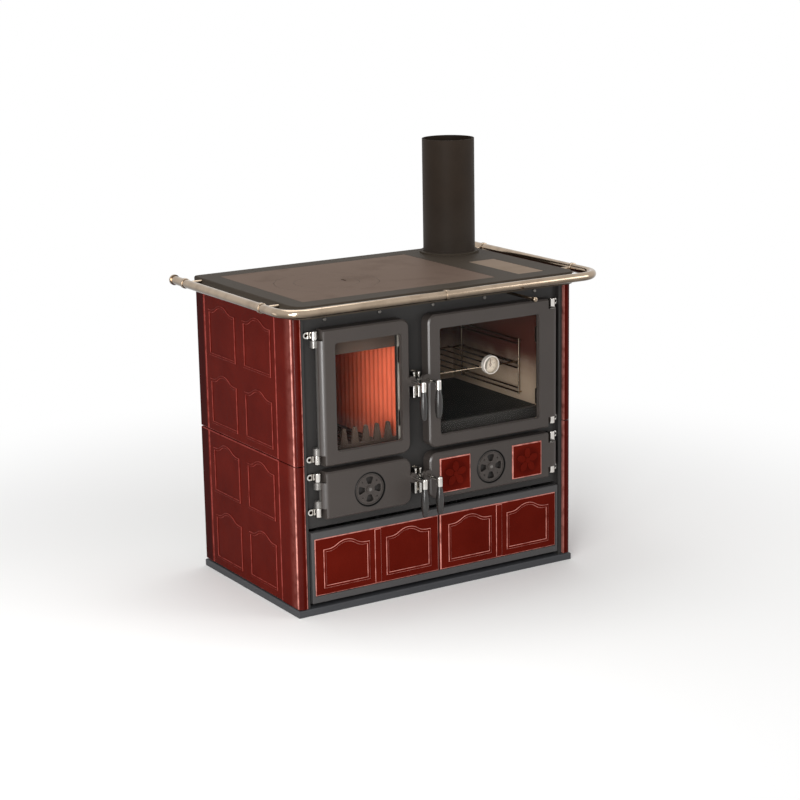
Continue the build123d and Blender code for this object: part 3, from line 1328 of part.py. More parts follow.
def oven_box():
    """The oven's sheet-steel box over a lower chamber, both open at the front frame."""
    x0, x1, z0, z1 = OVEN_OPEN
    low = LOWER_OPEN[2]
    t = OVEN_SHEET
    box = block(x0 - t, x1 + t, FRAME_BACK_Y, OVEN_BACK + t, low - t, z1 + t)
    box -= block(x0, x1, FRAME_BACK_Y - 1, OVEN_BACK, z0, z1)
    return box - block(x0, x1, FRAME_BACK_Y - 1, OVEN_BACK, low, z0 - t)


def runner_wires(x):
    """One wire ladder: two uprights and a pair of rails at each level, as one welded piece."""
    ladder = post(x, RUNNER_FRONT_Y, RUNNER_LOW_Z, RUNNER_HIGH_Z, WIRE_R)
    ladder += post(x, RUNNER_REAR_Y, RUNNER_LOW_Z, RUNNER_HIGH_Z, WIRE_R)
    for i in range(RUNNER_LEVELS):
        level = RUNNER_LOW_LEVEL + i * RUNNER_LEVEL_PITCH
        for z in (level - RUNNER_PAIR / 2, level + RUNNER_PAIR / 2):
            ladder += rod_y(x, z, RUNNER_FRONT_Y, RUNNER_REAR_Y, WIRE_R)
    return ladder


def oven_runners():
    """The wire ladders on the oven's two side walls, each on four short pegs."""
    x0, x1, _, _ = OVEN_OPEN
    ladders = []
    for wall, inward in ((x0, 1), (x1, -1)):
        x = wall + inward * RUNNER_STANDOFF
        ladder = runner_wires(x)
        for y in (RUNNER_FRONT_Y, RUNNER_REAR_Y):
            for z in (RUNNER_LOW_Z + 2 * WIRE_R, RUNNER_HIGH_Z - 2 * WIRE_R):
                peg = sorted((wall, x))
                ladder += rod_x(y, z, peg[0], peg[1], WIRE_R)
        ladders.append(ladder)
    return Compound(children=ladders)


def oven_rack():
    """The wire rack that lies on the middle pair of rails."""
    x0, x1, _, _ = OVEN_OPEN
    half = (x1 - x0) / 2 - RACK_SIDE_GAP
    middle = (x0 + x1) / 2
    rail_z = RUNNER_LOW_LEVEL + RUNNER_LEVEL_PITCH + RUNNER_PAIR / 2
    z = rail_z + 2 * WIRE_R
    y0, y1 = RUNNER_FRONT_Y + 4 * WIRE_R, RUNNER_REAR_Y - 4 * WIRE_R
    rack = rod_x(y0, z, middle - half, middle + half, WIRE_R)
    rack += rod_x(y1, z, middle - half, middle + half, WIRE_R)
    wire_half = half - 2 * RUNNER_STANDOFF
    for i in range(RACK_WIRES):
        x = middle + (2 * i / (RACK_WIRES - 1) - 1) * wire_half
        rack += rod_y(x, z + RACK_LIFT, y0 - 2 * WIRE_R, y1 + 2 * WIRE_R, RACK_WIRE_R)
    return rack


# Damper

def damper():
    """The smoke damper, pulled out as it stands for lighting: rod, turned knob and sliding plate."""
    y_knob = FRAME_Y - DAMPER_OUT
    plate_y1 = FLUE_Y - FLUE_BORE_R - DAMPER_CLEAR
    plate_y0 = plate_y1 - DAMPER_PLATE_L
    x0 = damper_left()
    low = DAMPER_Z - DAMPER_PLATE_T / 2
    slide = block(x0, x0 + DAMPER_PLATE_W, plate_y0, plate_y1, low, low + DAMPER_PLATE_T)
    slide += rod_y(DAMPER_X, DAMPER_Z, y_knob, plate_y0 + 3 * DAMPER_ROD_R, DAMPER_ROD_R)
    knob = rod_y(DAMPER_X, DAMPER_Z, y_knob - DAMPER_KNOB_L / 2, y_knob + DAMPER_KNOB_L / 2, DAMPER_KNOB_R)
    return slide + fillet(knob.edges().filter_by(GeomType.CIRCLE), DAMPER_KNOB_R * 0.5)


def all_parts():
    """Every piece of the stove by its name."""
    parts = {
        "plinth": plinth(),
        "left_casing": left_casing(),
        "right_casing": mirrored(left_casing()),
        "rear_panel": rear_panel(),
        "front_frame": front_frame(),
        "frame_screws": frame_screws(),
        "left_side_tiles": side_tiles(-1),
        "right_side_tiles": side_tiles(1),
        "left_corner_tiles": corner_tiles(),
        "right_corner_tiles": mirrored(corner_tiles()),
        "hob_frame": hob_frame(),
        "hob_main_plate": hob_main_plate(),
        "hob_side_plate": hob_side_plate(),
        "hob_ring": hob_ring(),
        "hob_disc": hob_disc(),
        "flue_collar": flue_collar(),
        "flue_pipe": flue_pipe(),
        "rail_left": rail_half(-1),
        "rail_right": rail_half(1),
        "rail_stays": rail_stays(),
        "rail_finials": rail_finials(),
        "hinge_brackets": hinge_brackets(),
        "latch_keepers": latch_keepers(),
        "fire_door": fire_door(),
        "fire_door_glass": door_glass(FIRE_WINDOW),
        "fire_door_clips": glass_clips(FIRE_WINDOW),
        "oven_door": oven_door(),
        "oven_door_glass": door_glass(OVEN_WINDOW),
        "oven_door_clips": glass_clips(OVEN_WINDOW),
        "thermometer_case": thermometer_case(),
        "thermometer_needle": thermometer_needle(),
        "ash_door": ash_door(),
        "air_regulator": rosette(ROSETTE_X),
        "lower_door": lower_door(),
        "lower_door_rosette": rosette(LOWER_ROSETTE_X),
        "lower_door_tiles": lower_door_tiles(),
        "drawer_front": drawer_front(),
        "drawer_tiles": drawer_tiles(),
        "drawer_box": drawer_box(),
        "drawer_runners": drawer_runners(),
        "firebox_shell": firebox_shell(),
        "lining_left": lining_left(),
        "lining_right": lining_right(),
        "lining_back": lining_back(),
        "grate": grate(),
        "log_retainer": log_retainer(),
        "smoke_baffle": smoke_baffle(),
        "ash_pan": ash_pan(),
        "oven_box": oven_box(),
        "oven_runners": oven_runners(),
        "oven_rack": oven_rack(),
        "damper": damper(),
    }
    handles = {
        "fire_door": (True, UPPER_LATCH_Z),
        "oven_door": (False, UPPER_LATCH_Z),
        "ash_door": (True, LOWER_LATCH_Z),
        "lower_door": (False, LOWER_LATCH_Z),
    }
    for door, (left, z) in handles.items():
        parts[f"{door}_lever"] = handle_lever(left, z)
        parts[f"{door}_grip"] = handle_grip(left, z)
    return parts


def main():
    os.makedirs("parts", exist_ok=True)
    for name, solid in all_parts().items():
        export_step(solid, f"parts/{name}.step")


main()
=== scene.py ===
import json
import math

import bpy
import numpy as np
from mathutils import Matrix, Vector


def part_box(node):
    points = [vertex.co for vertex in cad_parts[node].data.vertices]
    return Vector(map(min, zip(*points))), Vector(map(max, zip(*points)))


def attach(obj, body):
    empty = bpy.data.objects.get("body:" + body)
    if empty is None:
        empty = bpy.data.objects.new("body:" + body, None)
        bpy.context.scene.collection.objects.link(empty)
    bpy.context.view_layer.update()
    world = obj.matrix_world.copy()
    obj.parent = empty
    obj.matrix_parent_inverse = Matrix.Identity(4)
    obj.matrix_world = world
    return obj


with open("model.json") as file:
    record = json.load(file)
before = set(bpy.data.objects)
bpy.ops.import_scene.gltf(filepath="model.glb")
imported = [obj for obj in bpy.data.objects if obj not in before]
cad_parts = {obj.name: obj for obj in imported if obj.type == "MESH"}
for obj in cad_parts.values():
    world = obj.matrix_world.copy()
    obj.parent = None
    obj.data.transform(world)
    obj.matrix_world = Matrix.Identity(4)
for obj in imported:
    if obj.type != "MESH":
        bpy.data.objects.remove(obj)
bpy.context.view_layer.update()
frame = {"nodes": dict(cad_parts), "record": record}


# Plinth: a shallow pressed-steel tray in slate-grey stove paint. The whole stove stands on it,
# so its edges are rubbed a little brighter by brooms and shoes.

class Signal:
    """One socket of a node tree. Arithmetic on it adds Math nodes."""

    def __init__(self, nodes, socket):
        self.nodes = nodes
        self.socket = socket

    def math(self, operation, *terms):
        return self.nodes.node("ShaderNodeMath", {"operation": operation}, dict(enumerate(terms)))

    def __add__(self, other):
        return self.math("ADD", self, other)

    def __sub__(self, other):
        return self.math("SUBTRACT", self, other)

    def __rsub__(self, other):
        return self.math("SUBTRACT", other, self)

    def __mul__(self, other):
        return self.math("MULTIPLY", self, other)

    def __truediv__(self, other):
        return self.math("DIVIDE", self, other)

    def __pow__(self, other):
        return self.math("POWER", self, other)

    def __abs__(self):
        return self.math("ABSOLUTE", self)

    __radd__ = __add__
    __rmul__ = __mul__

    def most(self, other):
        return self.math("MAXIMUM", self, other)

    def least(self, other):
        return self.math("MINIMUM", self, other)


class Nodes:
    """A node tree that is filled by one method."""

    def __init__(self, tree):
        self.tree = tree

    def node(self, kind, settings=None, sockets=None, out=0):
        """Adds a node, makes its settings, then fills its sockets, and returns one of its outputs."""
        made = self.tree.nodes.new(kind)
        for key, value in (settings or {}).items():
            setattr(made, key, value)
        for key, value in (sockets or {}).items():
            self.fill(made.inputs[key], value)
        return Signal(self, made.outputs[out])

    def fill(self, socket, value):
        """A signal is linked to the socket; anything else is its plain value."""
        if isinstance(value, Signal):
            self.tree.links.new(value.socket, socket)
        else:
            socket.default_value = value


class Finish(Nodes):
    """A material: nodes that end in one Principled shader, whose plain values are given by name."""

    def __init__(self, name, **plain):
        self.material = bpy.data.materials.new(name)
        self.material.use_nodes = True
        super().__init__(self.material.node_tree)
        self.shader = self.tree.nodes["Principled BSDF"]
        self.give(**plain)

    def give(self, **values):
        """Fills the Principled shader's sockets, named with underscores."""
        for key, value in values.items():
            self.fill(self.shader.inputs[key.replace("_", " ")], value)

    def show(self, share, first, second):
        """Mixes two shaders by a share and shows the result in place of the Principled shader."""
        mixed = self.node("ShaderNodeMixShader", sockets={0: share, 1: first, 2: second})
        self.fill(self.tree.nodes["Material Output"].inputs["Surface"], mixed)

    def place(self):
        """Object coordinates, in metres."""
        return self.node("ShaderNodeTexCoord", out="Object")

    def axes(self, where=None):
        """The three numbers of a vector, by default of the place."""
        split = self.node("ShaderNodeSeparateXYZ", sockets={0: where or self.place()})
        outputs = split.socket.node.outputs
        return [Signal(self, outputs[i]) for i in range(3)]

    def facing(self):
        """The three numbers of the direction that the surface faces on its own piece."""
        return self.axes(self.node("ShaderNodeTexCoord", out="Normal"))

    def stretch(self, scale):
        """The place times a scale for each axis."""
        return self.node("ShaderNodeVectorMath", {"operation": "MULTIPLY"}, {0: self.place(), 1: scale})

    def noise(self, scale, detail=2.0, where=None):
        """Cloudy noise with about that many patches in a metre."""
        sockets = {"Vector": where or self.place(), "Scale": scale, "Detail": detail}
        return self.node("ShaderNodeTexNoise", sockets=sockets)

    def step(self, value, low, high):
        """A smooth step from 0 at low to 1 at high."""
        sockets = {0: value, 1: low, 2: high}
        return self.node("ShaderNodeMapRange", {"interpolation_type": "SMOOTHSTEP"}, sockets)

    def blend(self, share, first, second):
        """A colour between two others."""
        return self.node("ShaderNodeMix", {"data_type": "RGBA"}, {0: share, 6: first, 7: second}, 2)

    def relief(self, height, depth):
        """A bump of the given depth in metres, as the shader's normal."""
        self.give(Normal=self.node("ShaderNodeBump", sockets={"Height": height, "Distance": depth}))

    def edges(self, radius):
        """How far a surface turns within that radius: 0 on a flat, up to about 1 along an arris."""
        soft = self.node("ShaderNodeBevel", {"samples": 4}, {"Radius": radius})
        flat = self.node("ShaderNodeNewGeometry", out="Normal")
        turn = self.node("ShaderNodeVectorMath", {"operation": "DOT_PRODUCT"}, {0: soft, 1: flat}, "Value")
        return self.step(turn, 0.995, 0.8)


def tone(red, green, blue):
    """A colour with full alpha."""
    return (red, green, blue, 1.0)


def dress(finish, *nodes):
    """Puts a finish on CAD nodes."""
    for name in nodes:
        for slot in frame["nodes"][name].material_slots:
            slot.material = finish.material


slate = Finish("slate_paint", IOR=1.3)
slate_cloud = slate.noise(5.0, 4.0)
slate_rub = slate.edges(0.003) * slate.step(slate.noise(38.0, 3.0), 0.35, 0.65)
slate_tone = slate.blend(slate_cloud, tone(0.032, 0.033, 0.036), tone(0.050, 0.051, 0.055))
slate.give(Base_Color=slate.blend(slate_rub * 0.5, slate_tone, tone(0.115, 0.115, 0.12)))
slate.give(Roughness=0.42 + slate_cloud * 0.16)
slate.relief(slate.noise(1100.0), 0.0001)
dress(slate, "plinth")


# Casing and rear panel: folded steel sheet in dark grey paint behind the tiles. The back is closed
# by a swaged sheet held with small screws, as on any stove that stands against a wall.

casing_paint = Finish("casing_paint", IOR=1.35)
casing_cloud = casing_paint.noise(7.0, 5.0)
casing_streak = casing_paint.noise(1.0, 4.0, casing_paint.stretch((55.0, 55.0, 2.5)))
casing_tone = casing_paint.blend(casing_cloud, tone(0.058, 0.056, 0.054), tone(0.090, 0.087, 0.083))
casing_paint.give(Base_Color=casing_paint.blend(casing_streak * 0.35, casing_tone, tone(0.045, 0.042, 0.039)))
casing_paint.give(Roughness=0.48 + casing_cloud * 0.14)
casing_paint.relief(casing_paint.noise(900.0), 0.0001)
dress(casing_paint, "left_casing", "right_casing", "rear_panel", "drawer_runners")


def solid(name, points, faces, finish, body):
    """A smooth-shaded mesh object of these points and faces, in its finish, riding on its body."""
    mesh = bpy.data.meshes.new(name)
    mesh.from_pydata(points.tolist(), [], faces)
    mesh.polygons.foreach_set("use_smooth", np.ones(len(mesh.polygons), bool))
    mesh.materials.append(finish.material)
    mesh.update()
    piece = bpy.data.objects.new(name, mesh)
    bpy.context.scene.collection.objects.link(piece)
    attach(piece, body)
    return piece


def turned(profile, places, outward, columns=48):
    """Points and faces of like turned pieces, one at each place. The profile is a list of radii and
    heights from the front pole to the back pole; a radius may change round the axis. Each ring is
    its radius times the circle across the axis, set at its height along the axis."""
    outward = np.array(outward, float)
    side = np.cross(outward, (0.0, 0.0, 1.0))
    upward = np.cross(outward, side)
    angle = np.linspace(0, 2 * np.pi, columns, endpoint=False)
    circle = np.cos(angle)[:, None] * side + np.sin(angle)[:, None] * upward
    rings = np.stack([circle * np.broadcast_to(r, columns)[:, None] + h * outward for r, h in profile[1:-1]])
    poles = [profile[0][1] * outward, profile[-1][1] * outward]
    one = np.vstack([poles, rings.reshape(-1, 3)])
    ring = 2 + np.arange(len(rings) * columns).reshape(-1, columns)
    after = np.roll(ring, -1, axis=1)
    front = np.stack([0 * ring[0], ring[0], after[0]], -1)
    back = np.stack([0 * ring[0] + 1, after[-1], ring[-1]], -1)
    bands = np.stack([ring[:-1], ring[1:], after[1:], after[:-1]], -1).reshape(-1, 4)
    points = np.array(places, float)[:, None, :] + one
    shifts = np.arange(len(places)) * len(one)
    faces = [face for part in (front, back, bands) for s in shifts for face in (part + s).tolist()]
    return points.reshape(-1, 3), faces


def screw_heads(name, places, outward, radius, finish, body):
    """Domed screw heads with a hexagon socket: the socket's floor, its six-sided wall, the crown,
    the skirt and the flat underside."""
    angle = np.linspace(0, 2 * np.pi, 48, endpoint=False)
    flats = np.cos(np.pi / 6) / np.cos((angle + np.pi / 6) % (np.pi / 3) - np.pi / 6)
    outline = [(0.0, 0.1), (0.42 * flats, 0.1), (0.42 * flats, 0.52), (0.62, 0.52), (0.86, 0.40), (1.0, 0.2)]
    outline += [(1.0, 0.0), (0.0, 0.0)]
    profile = [(radius * reach, radius * height) for reach, height in outline]
    points, faces = turned(profile, places, outward)
    return solid(name, points, faces, finish, body)


bright_zinc = Finish("bright_zinc", Metallic=1.0)
bright_zinc_cloud = bright_zinc.noise(240.0, 3.0)
bright_zinc_tone = bright_zinc.blend(bright_zinc_cloud, tone(0.36, 0.35, 0.32), tone(0.54, 0.53, 0.50))
bright_zinc.give(Base_Color=bright_zinc_tone, Roughness=0.24 + bright_zinc_cloud * 0.2)

rear_low, rear_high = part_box("rear_panel")
rib_height, side_margin, end_margin, screws_a_side = 0.002, 0.035, 0.03, 6
rear_face = rear_high.y - rib_height
rear_xs = np.linspace(rear_low.x + side_margin, rear_high.x - side_margin, screws_a_side)
rear_zs = np.linspace(rear_low.z + end_margin, rear_high.z - end_margin, screws_a_side)
rear_places = [(x, rear_face, z) for x in rear_xs for z in (rear_zs[0], rear_zs[-1])]
rear_places += [(x, rear_face, z) for x in (rear_xs[0], rear_xs[-1]) for z in rear_zs[1:-1]]
screw_heads("rear_screws", rear_places, (0, 1, 0), 0.0045, bright_zinc, "stove_body")


# Front frame and doors: grey-iron castings in a warm anthracite stove paint. The paint keeps the sand's
# fine grain, and it is thinner and shinier along the edges. The doors' bored lugs are bare metal, and so
# are the rosettes' studs, which are brightened as a painted highlight. The gap round each rosette and its
# windows are painted dark as shade, with soot.

def cast_paint(name, dark, light, rough, ior, bare_and_highlight=None, darker_share=None, gloss=None):
    """Stove paint over cast iron: slow clouds of tone, a sandy grain and rubbed arrises. The bare mask gives
    the share of the surface that is left unpainted, which on the rosettes' studs is brightened as a painted
    highlight. The darkening mask gives the share that is blackened, as painted shade with soot, and gloss
    the share that hands have polished."""
    finish = Finish(name, IOR=ior, Coat_Roughness=0.28)
    cloud = finish.noise(4.5, 5.0)
    grain = finish.noise(520.0, 3.0)
    rub = finish.edges(0.0025) * finish.step(finish.noise(24.0, 3.0), 0.3, 0.7)
    rubbed = tone(*[2.4 * part for part in light])
    paint = finish.blend(cloud * 0.75 + grain * 0.25, tone(*dark), tone(*light))
    paint = finish.blend(rub * 0.4, paint, rubbed)
    roughness = rough + cloud * 0.10 - rub * 0.10
    if bare_and_highlight:
        share = bare_and_highlight(finish)
        # bare metal; on the rosettes' studs it is brightened as a painted highlight
        paint = finish.blend(share, paint, tone(0.19, 0.180, 0.168))
        roughness = roughness - share * 0.12
        finish.give(Metallic=share * 0.6)
    if darker_share:
        # painted shade, with soot, on the darkened share
        paint = finish.blend(darker_share(finish), paint, tone(0.006, 0.0055, 0.005))
    if gloss:
        finish.give(Coat_Weight=gloss(finish))
    finish.give(Base_Color=paint, Roughness=roughness)
    finish.relief(grain * 0.7 + finish.noise(130.0, 2.0) * 0.5, 0.00016)
    return finish


def middle(node):
    """The middle of a node's box."""
    low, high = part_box(node)
    return (low + high) / 2


def far(first, second):
    """Distance of two signals from nought: the root of the sum of their squares."""
    return (first ** 2.0 + second ** 2.0) ** 0.5


def from_rosette(finish):
    """Distance from the nearer rosette's middle, in metres, seen from the front."""
    x, _, z = finish.axes()
    centres = [middle(node) for node in ("air_regulator", "lower_door_rosette")]
    radii = [far(x - centre.x, z - centre.z) for centre in centres]
    return radii[0].least(radii[1])


def bare_lugs_and_bright_studs(finish):
    """1 on the lugs round the hinge axes, which are bare metal, and on the rosettes' studs, bare metal
    brightened as a painted highlight; 0 elsewhere.
    """
    lug_radius, stud_radius, blur = 0.012, 0.005, 0.0005
    x, y, _ = finish.axes()
    places = {row["name"]: row.get("pos_m") for row in frame["record"]["behaviour"]["joints"]}
    pins = [places[joint] for joint in ("fire_door_hinge", "oven_door_hinge")]
    radii = [far(x - pin[0], y - pin[1]) for pin in pins]
    lugs = finish.step(radii[0].least(radii[1]), lug_radius + blur, lug_radius - blur)
    return lugs.most(finish.step(from_rosette(finish), stud_radius + blur, stud_radius - blur) * 0.7)


def rosette_shade_and_soot(finish):
    """Painted shade, with soot, in the gap round each rosette and in the windows cut through it:
    0 on the rest.
    """
    gap_radius = 0.0460
    radius = from_rosette(finish)
    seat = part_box("air_regulator")[1].y
    gap = finish.step(abs(radius - gap_radius), 0.0034, 0.0022) * 0.95
    deep = finish.step(finish.axes()[1], seat - 0.0070, seat - 0.0050)
    return gap.most(deep * finish.step(radius, gap_radius - 0.0005, gap_radius - 0.0020) * 0.75)


def upright_rounds(finish):
    """The doors' rounded upright edges on the left, where hands and cloths pass most: 0 on the rest."""
    x, _, z = finish.facing()
    return finish.step(x, -0.15, -0.45) * finish.step(abs(z), 0.5, 0.2)


frame_paint = cast_paint("frame_paint", (0.021, 0.0200, 0.0194), (0.033, 0.0310, 0.0296), 0.44, 1.30)
door_dark, door_light = (0.031, 0.0255, 0.0226), (0.048, 0.0395, 0.0350)
door_paint = cast_paint("door_paint", door_dark, door_light, 0.36, 1.34, bare_lugs_and_bright_studs, rosette_shade_and_soot, upright_rounds)
drawer_paint = cast_paint("drawer_paint", (0.042, 0.0405, 0.0405), (0.060, 0.0575, 0.0575), 0.42, 1.32)
dress(frame_paint, "front_frame")
dress(drawer_paint, "drawer_front")
dress(door_paint, "fire_door", "oven_door", "ash_door", "lower_door", "air_regulator", "lower_door_rosette")

screw_steel = Finish("screw_steel", Metallic=1.0)
screw_stain = screw_steel.noise(300.0, 3.0)
screw_steel.give(Base_Color=screw_steel.blend(screw_stain, tone(0.11, 0.102, 0.094), tone(0.21, 0.196, 0.18)))
screw_steel.give(Roughness=0.30 + screw_stain * 0.22)
dress(screw_steel, "frame_screws", "fire_door_clips", "oven_door_clips")


# Side and corner tiles: pressed stoneware in a deep oxblood glaze. The glaze runs off the shoulders of the
# raised beads and off the tiles' own edges and breaks paler there, under a painted highlight along these
# lines and down the corners' rounds. It pools darker on the flats, and the rear strips and the corners'
# narrow fronts are painted darker as shade.

def glaze(name, break_and_highlight, rim=(0.66, 0.265, 0.220), dark=None, gloss=None):
    """Oxblood glaze. The pale mask gives the share of pale lines, where the glaze runs thin and breaks paler
    and a highlight is painted on, and rim their colour. dark gives the share that is darker, where the glaze
    lies thicker and where shade is painted in, and gloss the share that is worn to a high polish."""
    finish = Finish(name, IOR=1.06, Coat_Roughness=0.22)
    pool = finish.noise(11.0, 4.0)
    fleck = finish.step(finish.noise(330.0, 2.0), 0.62, 0.78)
    body = finish.blend(pool, tone(0.056, 0.0030, 0.0014), tone(0.104, 0.0080, 0.0040))
    body = finish.blend(fleck * 0.35, body, tone(0.032, 0.0016, 0.0010))
    if dark:
        # darker where the glaze lies thicker and where shade is painted in
        body = finish.blend(dark(finish), body, tone(0.030, 0.0014, 0.0008))
    if gloss:
        finish.give(Coat_Weight=gloss(finish))
    wander = finish.step(finish.noise(42.0, 2.0), 0.25, 0.6)
    # pale lines: the glaze breaking paler, with a painted highlight on them
    pale = break_and_highlight(finish) * (0.35 + wander * 0.65)
    finish.give(Base_Color=finish.blend(pale, body, tone(*rim)))
    finish.give(Roughness=0.11 + pool * 0.10)
    finish.relief(finish.noise(60.0, 2.0) * 0.8 + finish.noise(17.0, 1.0), 0.0006)
    return finish


def side_shoulders(finish):
    """The slopes of a side tile, where it faces neither straight out nor square to that: pale lines of
    broken glaze with a painted highlight.
    """
    out = abs(finish.facing()[0])
    return finish.step(out, 0.975, 0.90) * finish.step(out, 0.05, 0.25) * 0.5


def rear_strip_shade(finish):
    """The narrow plain tile behind each side tile, painted darker as shade."""
    strip = 0.040
    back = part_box("left_side_tiles")[1].y
    return finish.step(finish.axes()[1], back - strip - 0.006, back - strip) * 0.95


def corner_places(finish):
    """Places on a corner tile: how far it lies to the side and to the front of the axis of the rounded
    upright corner, and how far from the tile's edge beside the frame."""
    low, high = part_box("right_corner_tiles")
    corner = 0.012
    x, y, _ = finish.axes()
    return abs(x) - (high.x - corner), (low.y + corner) - y, abs(x) - low.x


def corner_highlight_and_break(finish):
    """A painted highlight down the corner where its round meets the flat side, with a faint painted glow
    behind it, and a weaker pale line of broken glaze with a painted highlight along the tile's edge
    beside the frame."""
    turn = math.radians(8.0)
    aside, ahead, inside = corner_places(finish)
    line = finish.step(abs(aside * math.sin(turn) - ahead * math.cos(turn)), 0.0044, 0.0014)
    painted_glow = finish.step(ahead, -0.040, -0.006) * finish.step(ahead, 0.0, -0.004) * 0.11
    return line.most(painted_glow).most(finish.step(inside, 0.0032, 0.0018) * 0.42)


def corner_front_shade(finish):
    """The tile's narrow front, painted darker in patches as shade."""
    aside, _, _ = corner_places(finish)
    return finish.step(aside, 0.0105, 0.0085) * (0.25 + finish.noise(70.0, 3.0) * 0.5)


def corner_gloss(finish):
    """The round itself, which sleeves and cloths have polished."""
    aside, ahead, _ = corner_places(finish)
    return finish.step(aside.least(ahead), -0.004, 0.002) * 0.2


side_glaze = glaze("side_glaze", side_shoulders, (0.42, 0.090, 0.075), rear_strip_shade)
dress(side_glaze, "left_side_tiles", "right_side_tiles")
corner_glaze = glaze("corner_glaze", corner_highlight_and_break, dark=corner_front_shade, gloss=corner_gloss)
dress(corner_glaze, "left_corner_tiles", "right_corner_tiles")


# Hob: a cast frame with a thick rolled rim, and ground iron plates that drop into it. The plates show
# the grinder's straight passes, and the ring and the disc are faced on a lathe. Heat has browned them.

hob_paint = cast_paint("hob_paint", (0.038, 0.0300, 0.0225), (0.060, 0.0475, 0.0355), 0.52, 1.14)
dress(hob_paint, "hob_frame", "flue_collar")


def ring_radius(finish):
    """Distance from the ring's axis, in metres, seen from above."""
    centre = middle("hob_disc")
    x, y, _ = finish.axes()
    return far(x - centre.x, y - centre.y)


def ground_iron(name, marks, wear=0.0):
    """Ground iron: tool marks, brown heat tint near the fire and darker cooking stains. wear is how far
    use has brightened it."""
    finish = Finish(name, Metallic=0.35, IOR=1.14, Specular_Tint=tone(0.55, 0.44, 0.35))
    lines = marks(finish)
    heat = finish.step(ring_radius(finish), 0.42, 0.08)
    stain = finish.step(finish.noise(9.0, 6.0), 0.48, 0.72)
    iron = finish.blend(lines, tone(0.110, 0.077, 0.060), tone(0.178, 0.129, 0.102))
    iron = finish.blend(heat * 0.45, iron, tone(0.115, 0.080, 0.062))
    iron = finish.blend(stain * 0.3, iron, tone(0.080, 0.058, 0.046))
    iron = finish.blend(wear, iron, tone(0.36, 0.285, 0.210))
    iron = finish.blend(finish.edges(0.0015) * 0.4, iron, tone(0.32, 0.28, 0.25))
    finish.give(Base_Color=iron, Roughness=0.44 + lines * 0.16 + stain * 0.08)
    finish.relief(lines, 0.00005)
    return finish


def straight_passes(finish):
    """Fine lines along X."""
    return finish.noise(1.0, 4.0, finish.stretch((6.0, 900.0, 6.0)))


def turned_rings(finish):
    """Fine rings about the ring's axis."""
    line = finish.node("ShaderNodeCombineXYZ", sockets={0: ring_radius(finish) * 1400.0})
    return finish.noise(1.0, 3.0, line)


dress(ground_iron("ground_plate", straight_passes), "hob_main_plate")
dress(ground_iron("worn_plate", straight_passes, 0.4), "hob_side_plate")
dress(ground_iron("turned_plate", turned_rings), "hob_ring", "hob_disc")


# Flue pipe: a length of rolled steel tube with a plain open end, pushed onto the collar. It is in matt
# black stove enamel, greyed by heat just above the collar.

pipe_black = Finish("pipe_black", IOR=1.18)
pipe_height = pipe_black.axes()[2]
pipe_cloud = pipe_black.noise(14.0, 5.0)
pipe_ash = pipe_black.step(pipe_height, 1.06, 0.87) * (0.5 + pipe_cloud * 0.5)
pipe_tone = pipe_black.blend(pipe_cloud, tone(0.0175, 0.0118, 0.0082), tone(0.0320, 0.0222, 0.0155))
pipe_black.give(Base_Color=pipe_black.blend(pipe_ash * 0.4, pipe_tone, tone(0.055, 0.047, 0.040)))
pipe_black.give(Roughness=0.46 + pipe_cloud * 0.18)
pipe_black.relief(pipe_black.noise(800.0), 0.0001)
dress(pipe_black, "flue_pipe")


# Rail and bright fittings: polished steel. The rail is plated warm, hazed by hands and painted darker
# underneath as shade and dark reflection. The knuckles, keepers, levers and wires are a colder bright
# steel with fine polishing lines, and the eyes in the hinge arms are painted dark as shade.

def polished(name, bright, hazed, rough=0.06, darker_share=None):
    """Plated steel: a polish that hands and heat have hazed in patches, over fine lines. The darkening mask
    gives the share that is painted dark as shade."""
    finish = Finish(name, Metallic=1.0)
    haze = finish.step(finish.noise(26.0, 4.0), 0.4, 0.75)
    line = finish.noise(1.0, 3.0, finish.stretch((60.0, 60.0, 1300.0)))
    steel = finish.blend(haze, tone(*bright), tone(*hazed))
    if darker_share:
        # painted shade on the darkened share
        steel = finish.blend(darker_share(finish), steel, tone(0.016, 0.011, 0.008))
    finish.give(Base_Color=steel)
    finish.give(Roughness=rough + haze * 0.08 + line * 0.03)
    finish.relief(line, 0.00001)
    return finish


def eye_shade(finish):
    """1 at the bottom of the eyes bored in the hinge arms, which are painted dark as shade; 0 elsewhere."""
    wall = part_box("hinge_brackets")[1].y
    return finish.step(finish.axes()[1], wall - 0.0062, wall - 0.0048)


def underside_shade(finish):
    """Painted shade and dark reflection under the rail: most on what faces down."""
    return finish.step(finish.facing()[2], 0.45, -0.65) * (0.5 + finish.noise(30.0, 3.0) * 0.4)


rail_plate = polished("rail_plate", (0.41, 0.322, 0.238), (0.32, 0.245, 0.178), 0.11, underside_shade)
bright_steel = polished("bright_steel", (0.66, 0.635, 0.60), (0.50, 0.475, 0.44))
hinge_steel = polished("hinge_steel", (0.66, 0.635, 0.60), (0.50, 0.475, 0.44), darker_share=eye_shade)
dress(rail_plate, "rail_left", "rail_right", "rail_stays", "rail_finials")
dress(rail_plate, "oven_runners", "oven_rack", "damper")
dress(hinge_steel, "hinge_brackets")
dress(bright_steel, "latch_keepers", "fire_door_lever", "oven_door_lever")
dress(bright_steel, "ash_door_lever", "lower_door_lever")

keeper_low, keeper_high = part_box("latch_keepers")
keeper_thickness = 0.004
keeper_x, keeper_face = middle("latch_keepers").x, keeper_high.y - keeper_thickness
keeper_zs = [keeper_high.z - below for below in (0.008, 0.062)]
keeper_zs += [keeper_low.z + above for above in (0.064, 0.010)]
keeper_places = [(keeper_x, keeper_face, z) for z in keeper_zs]
screw_heads("keeper_screws", keeper_places, (0, -1, 0), 0.0034, screw_steel, "stove_body")


# Grips: turned hardwood, stained almost black and lacquered. Each is driven onto the end of its lever,
# so that the door can be opened hot.

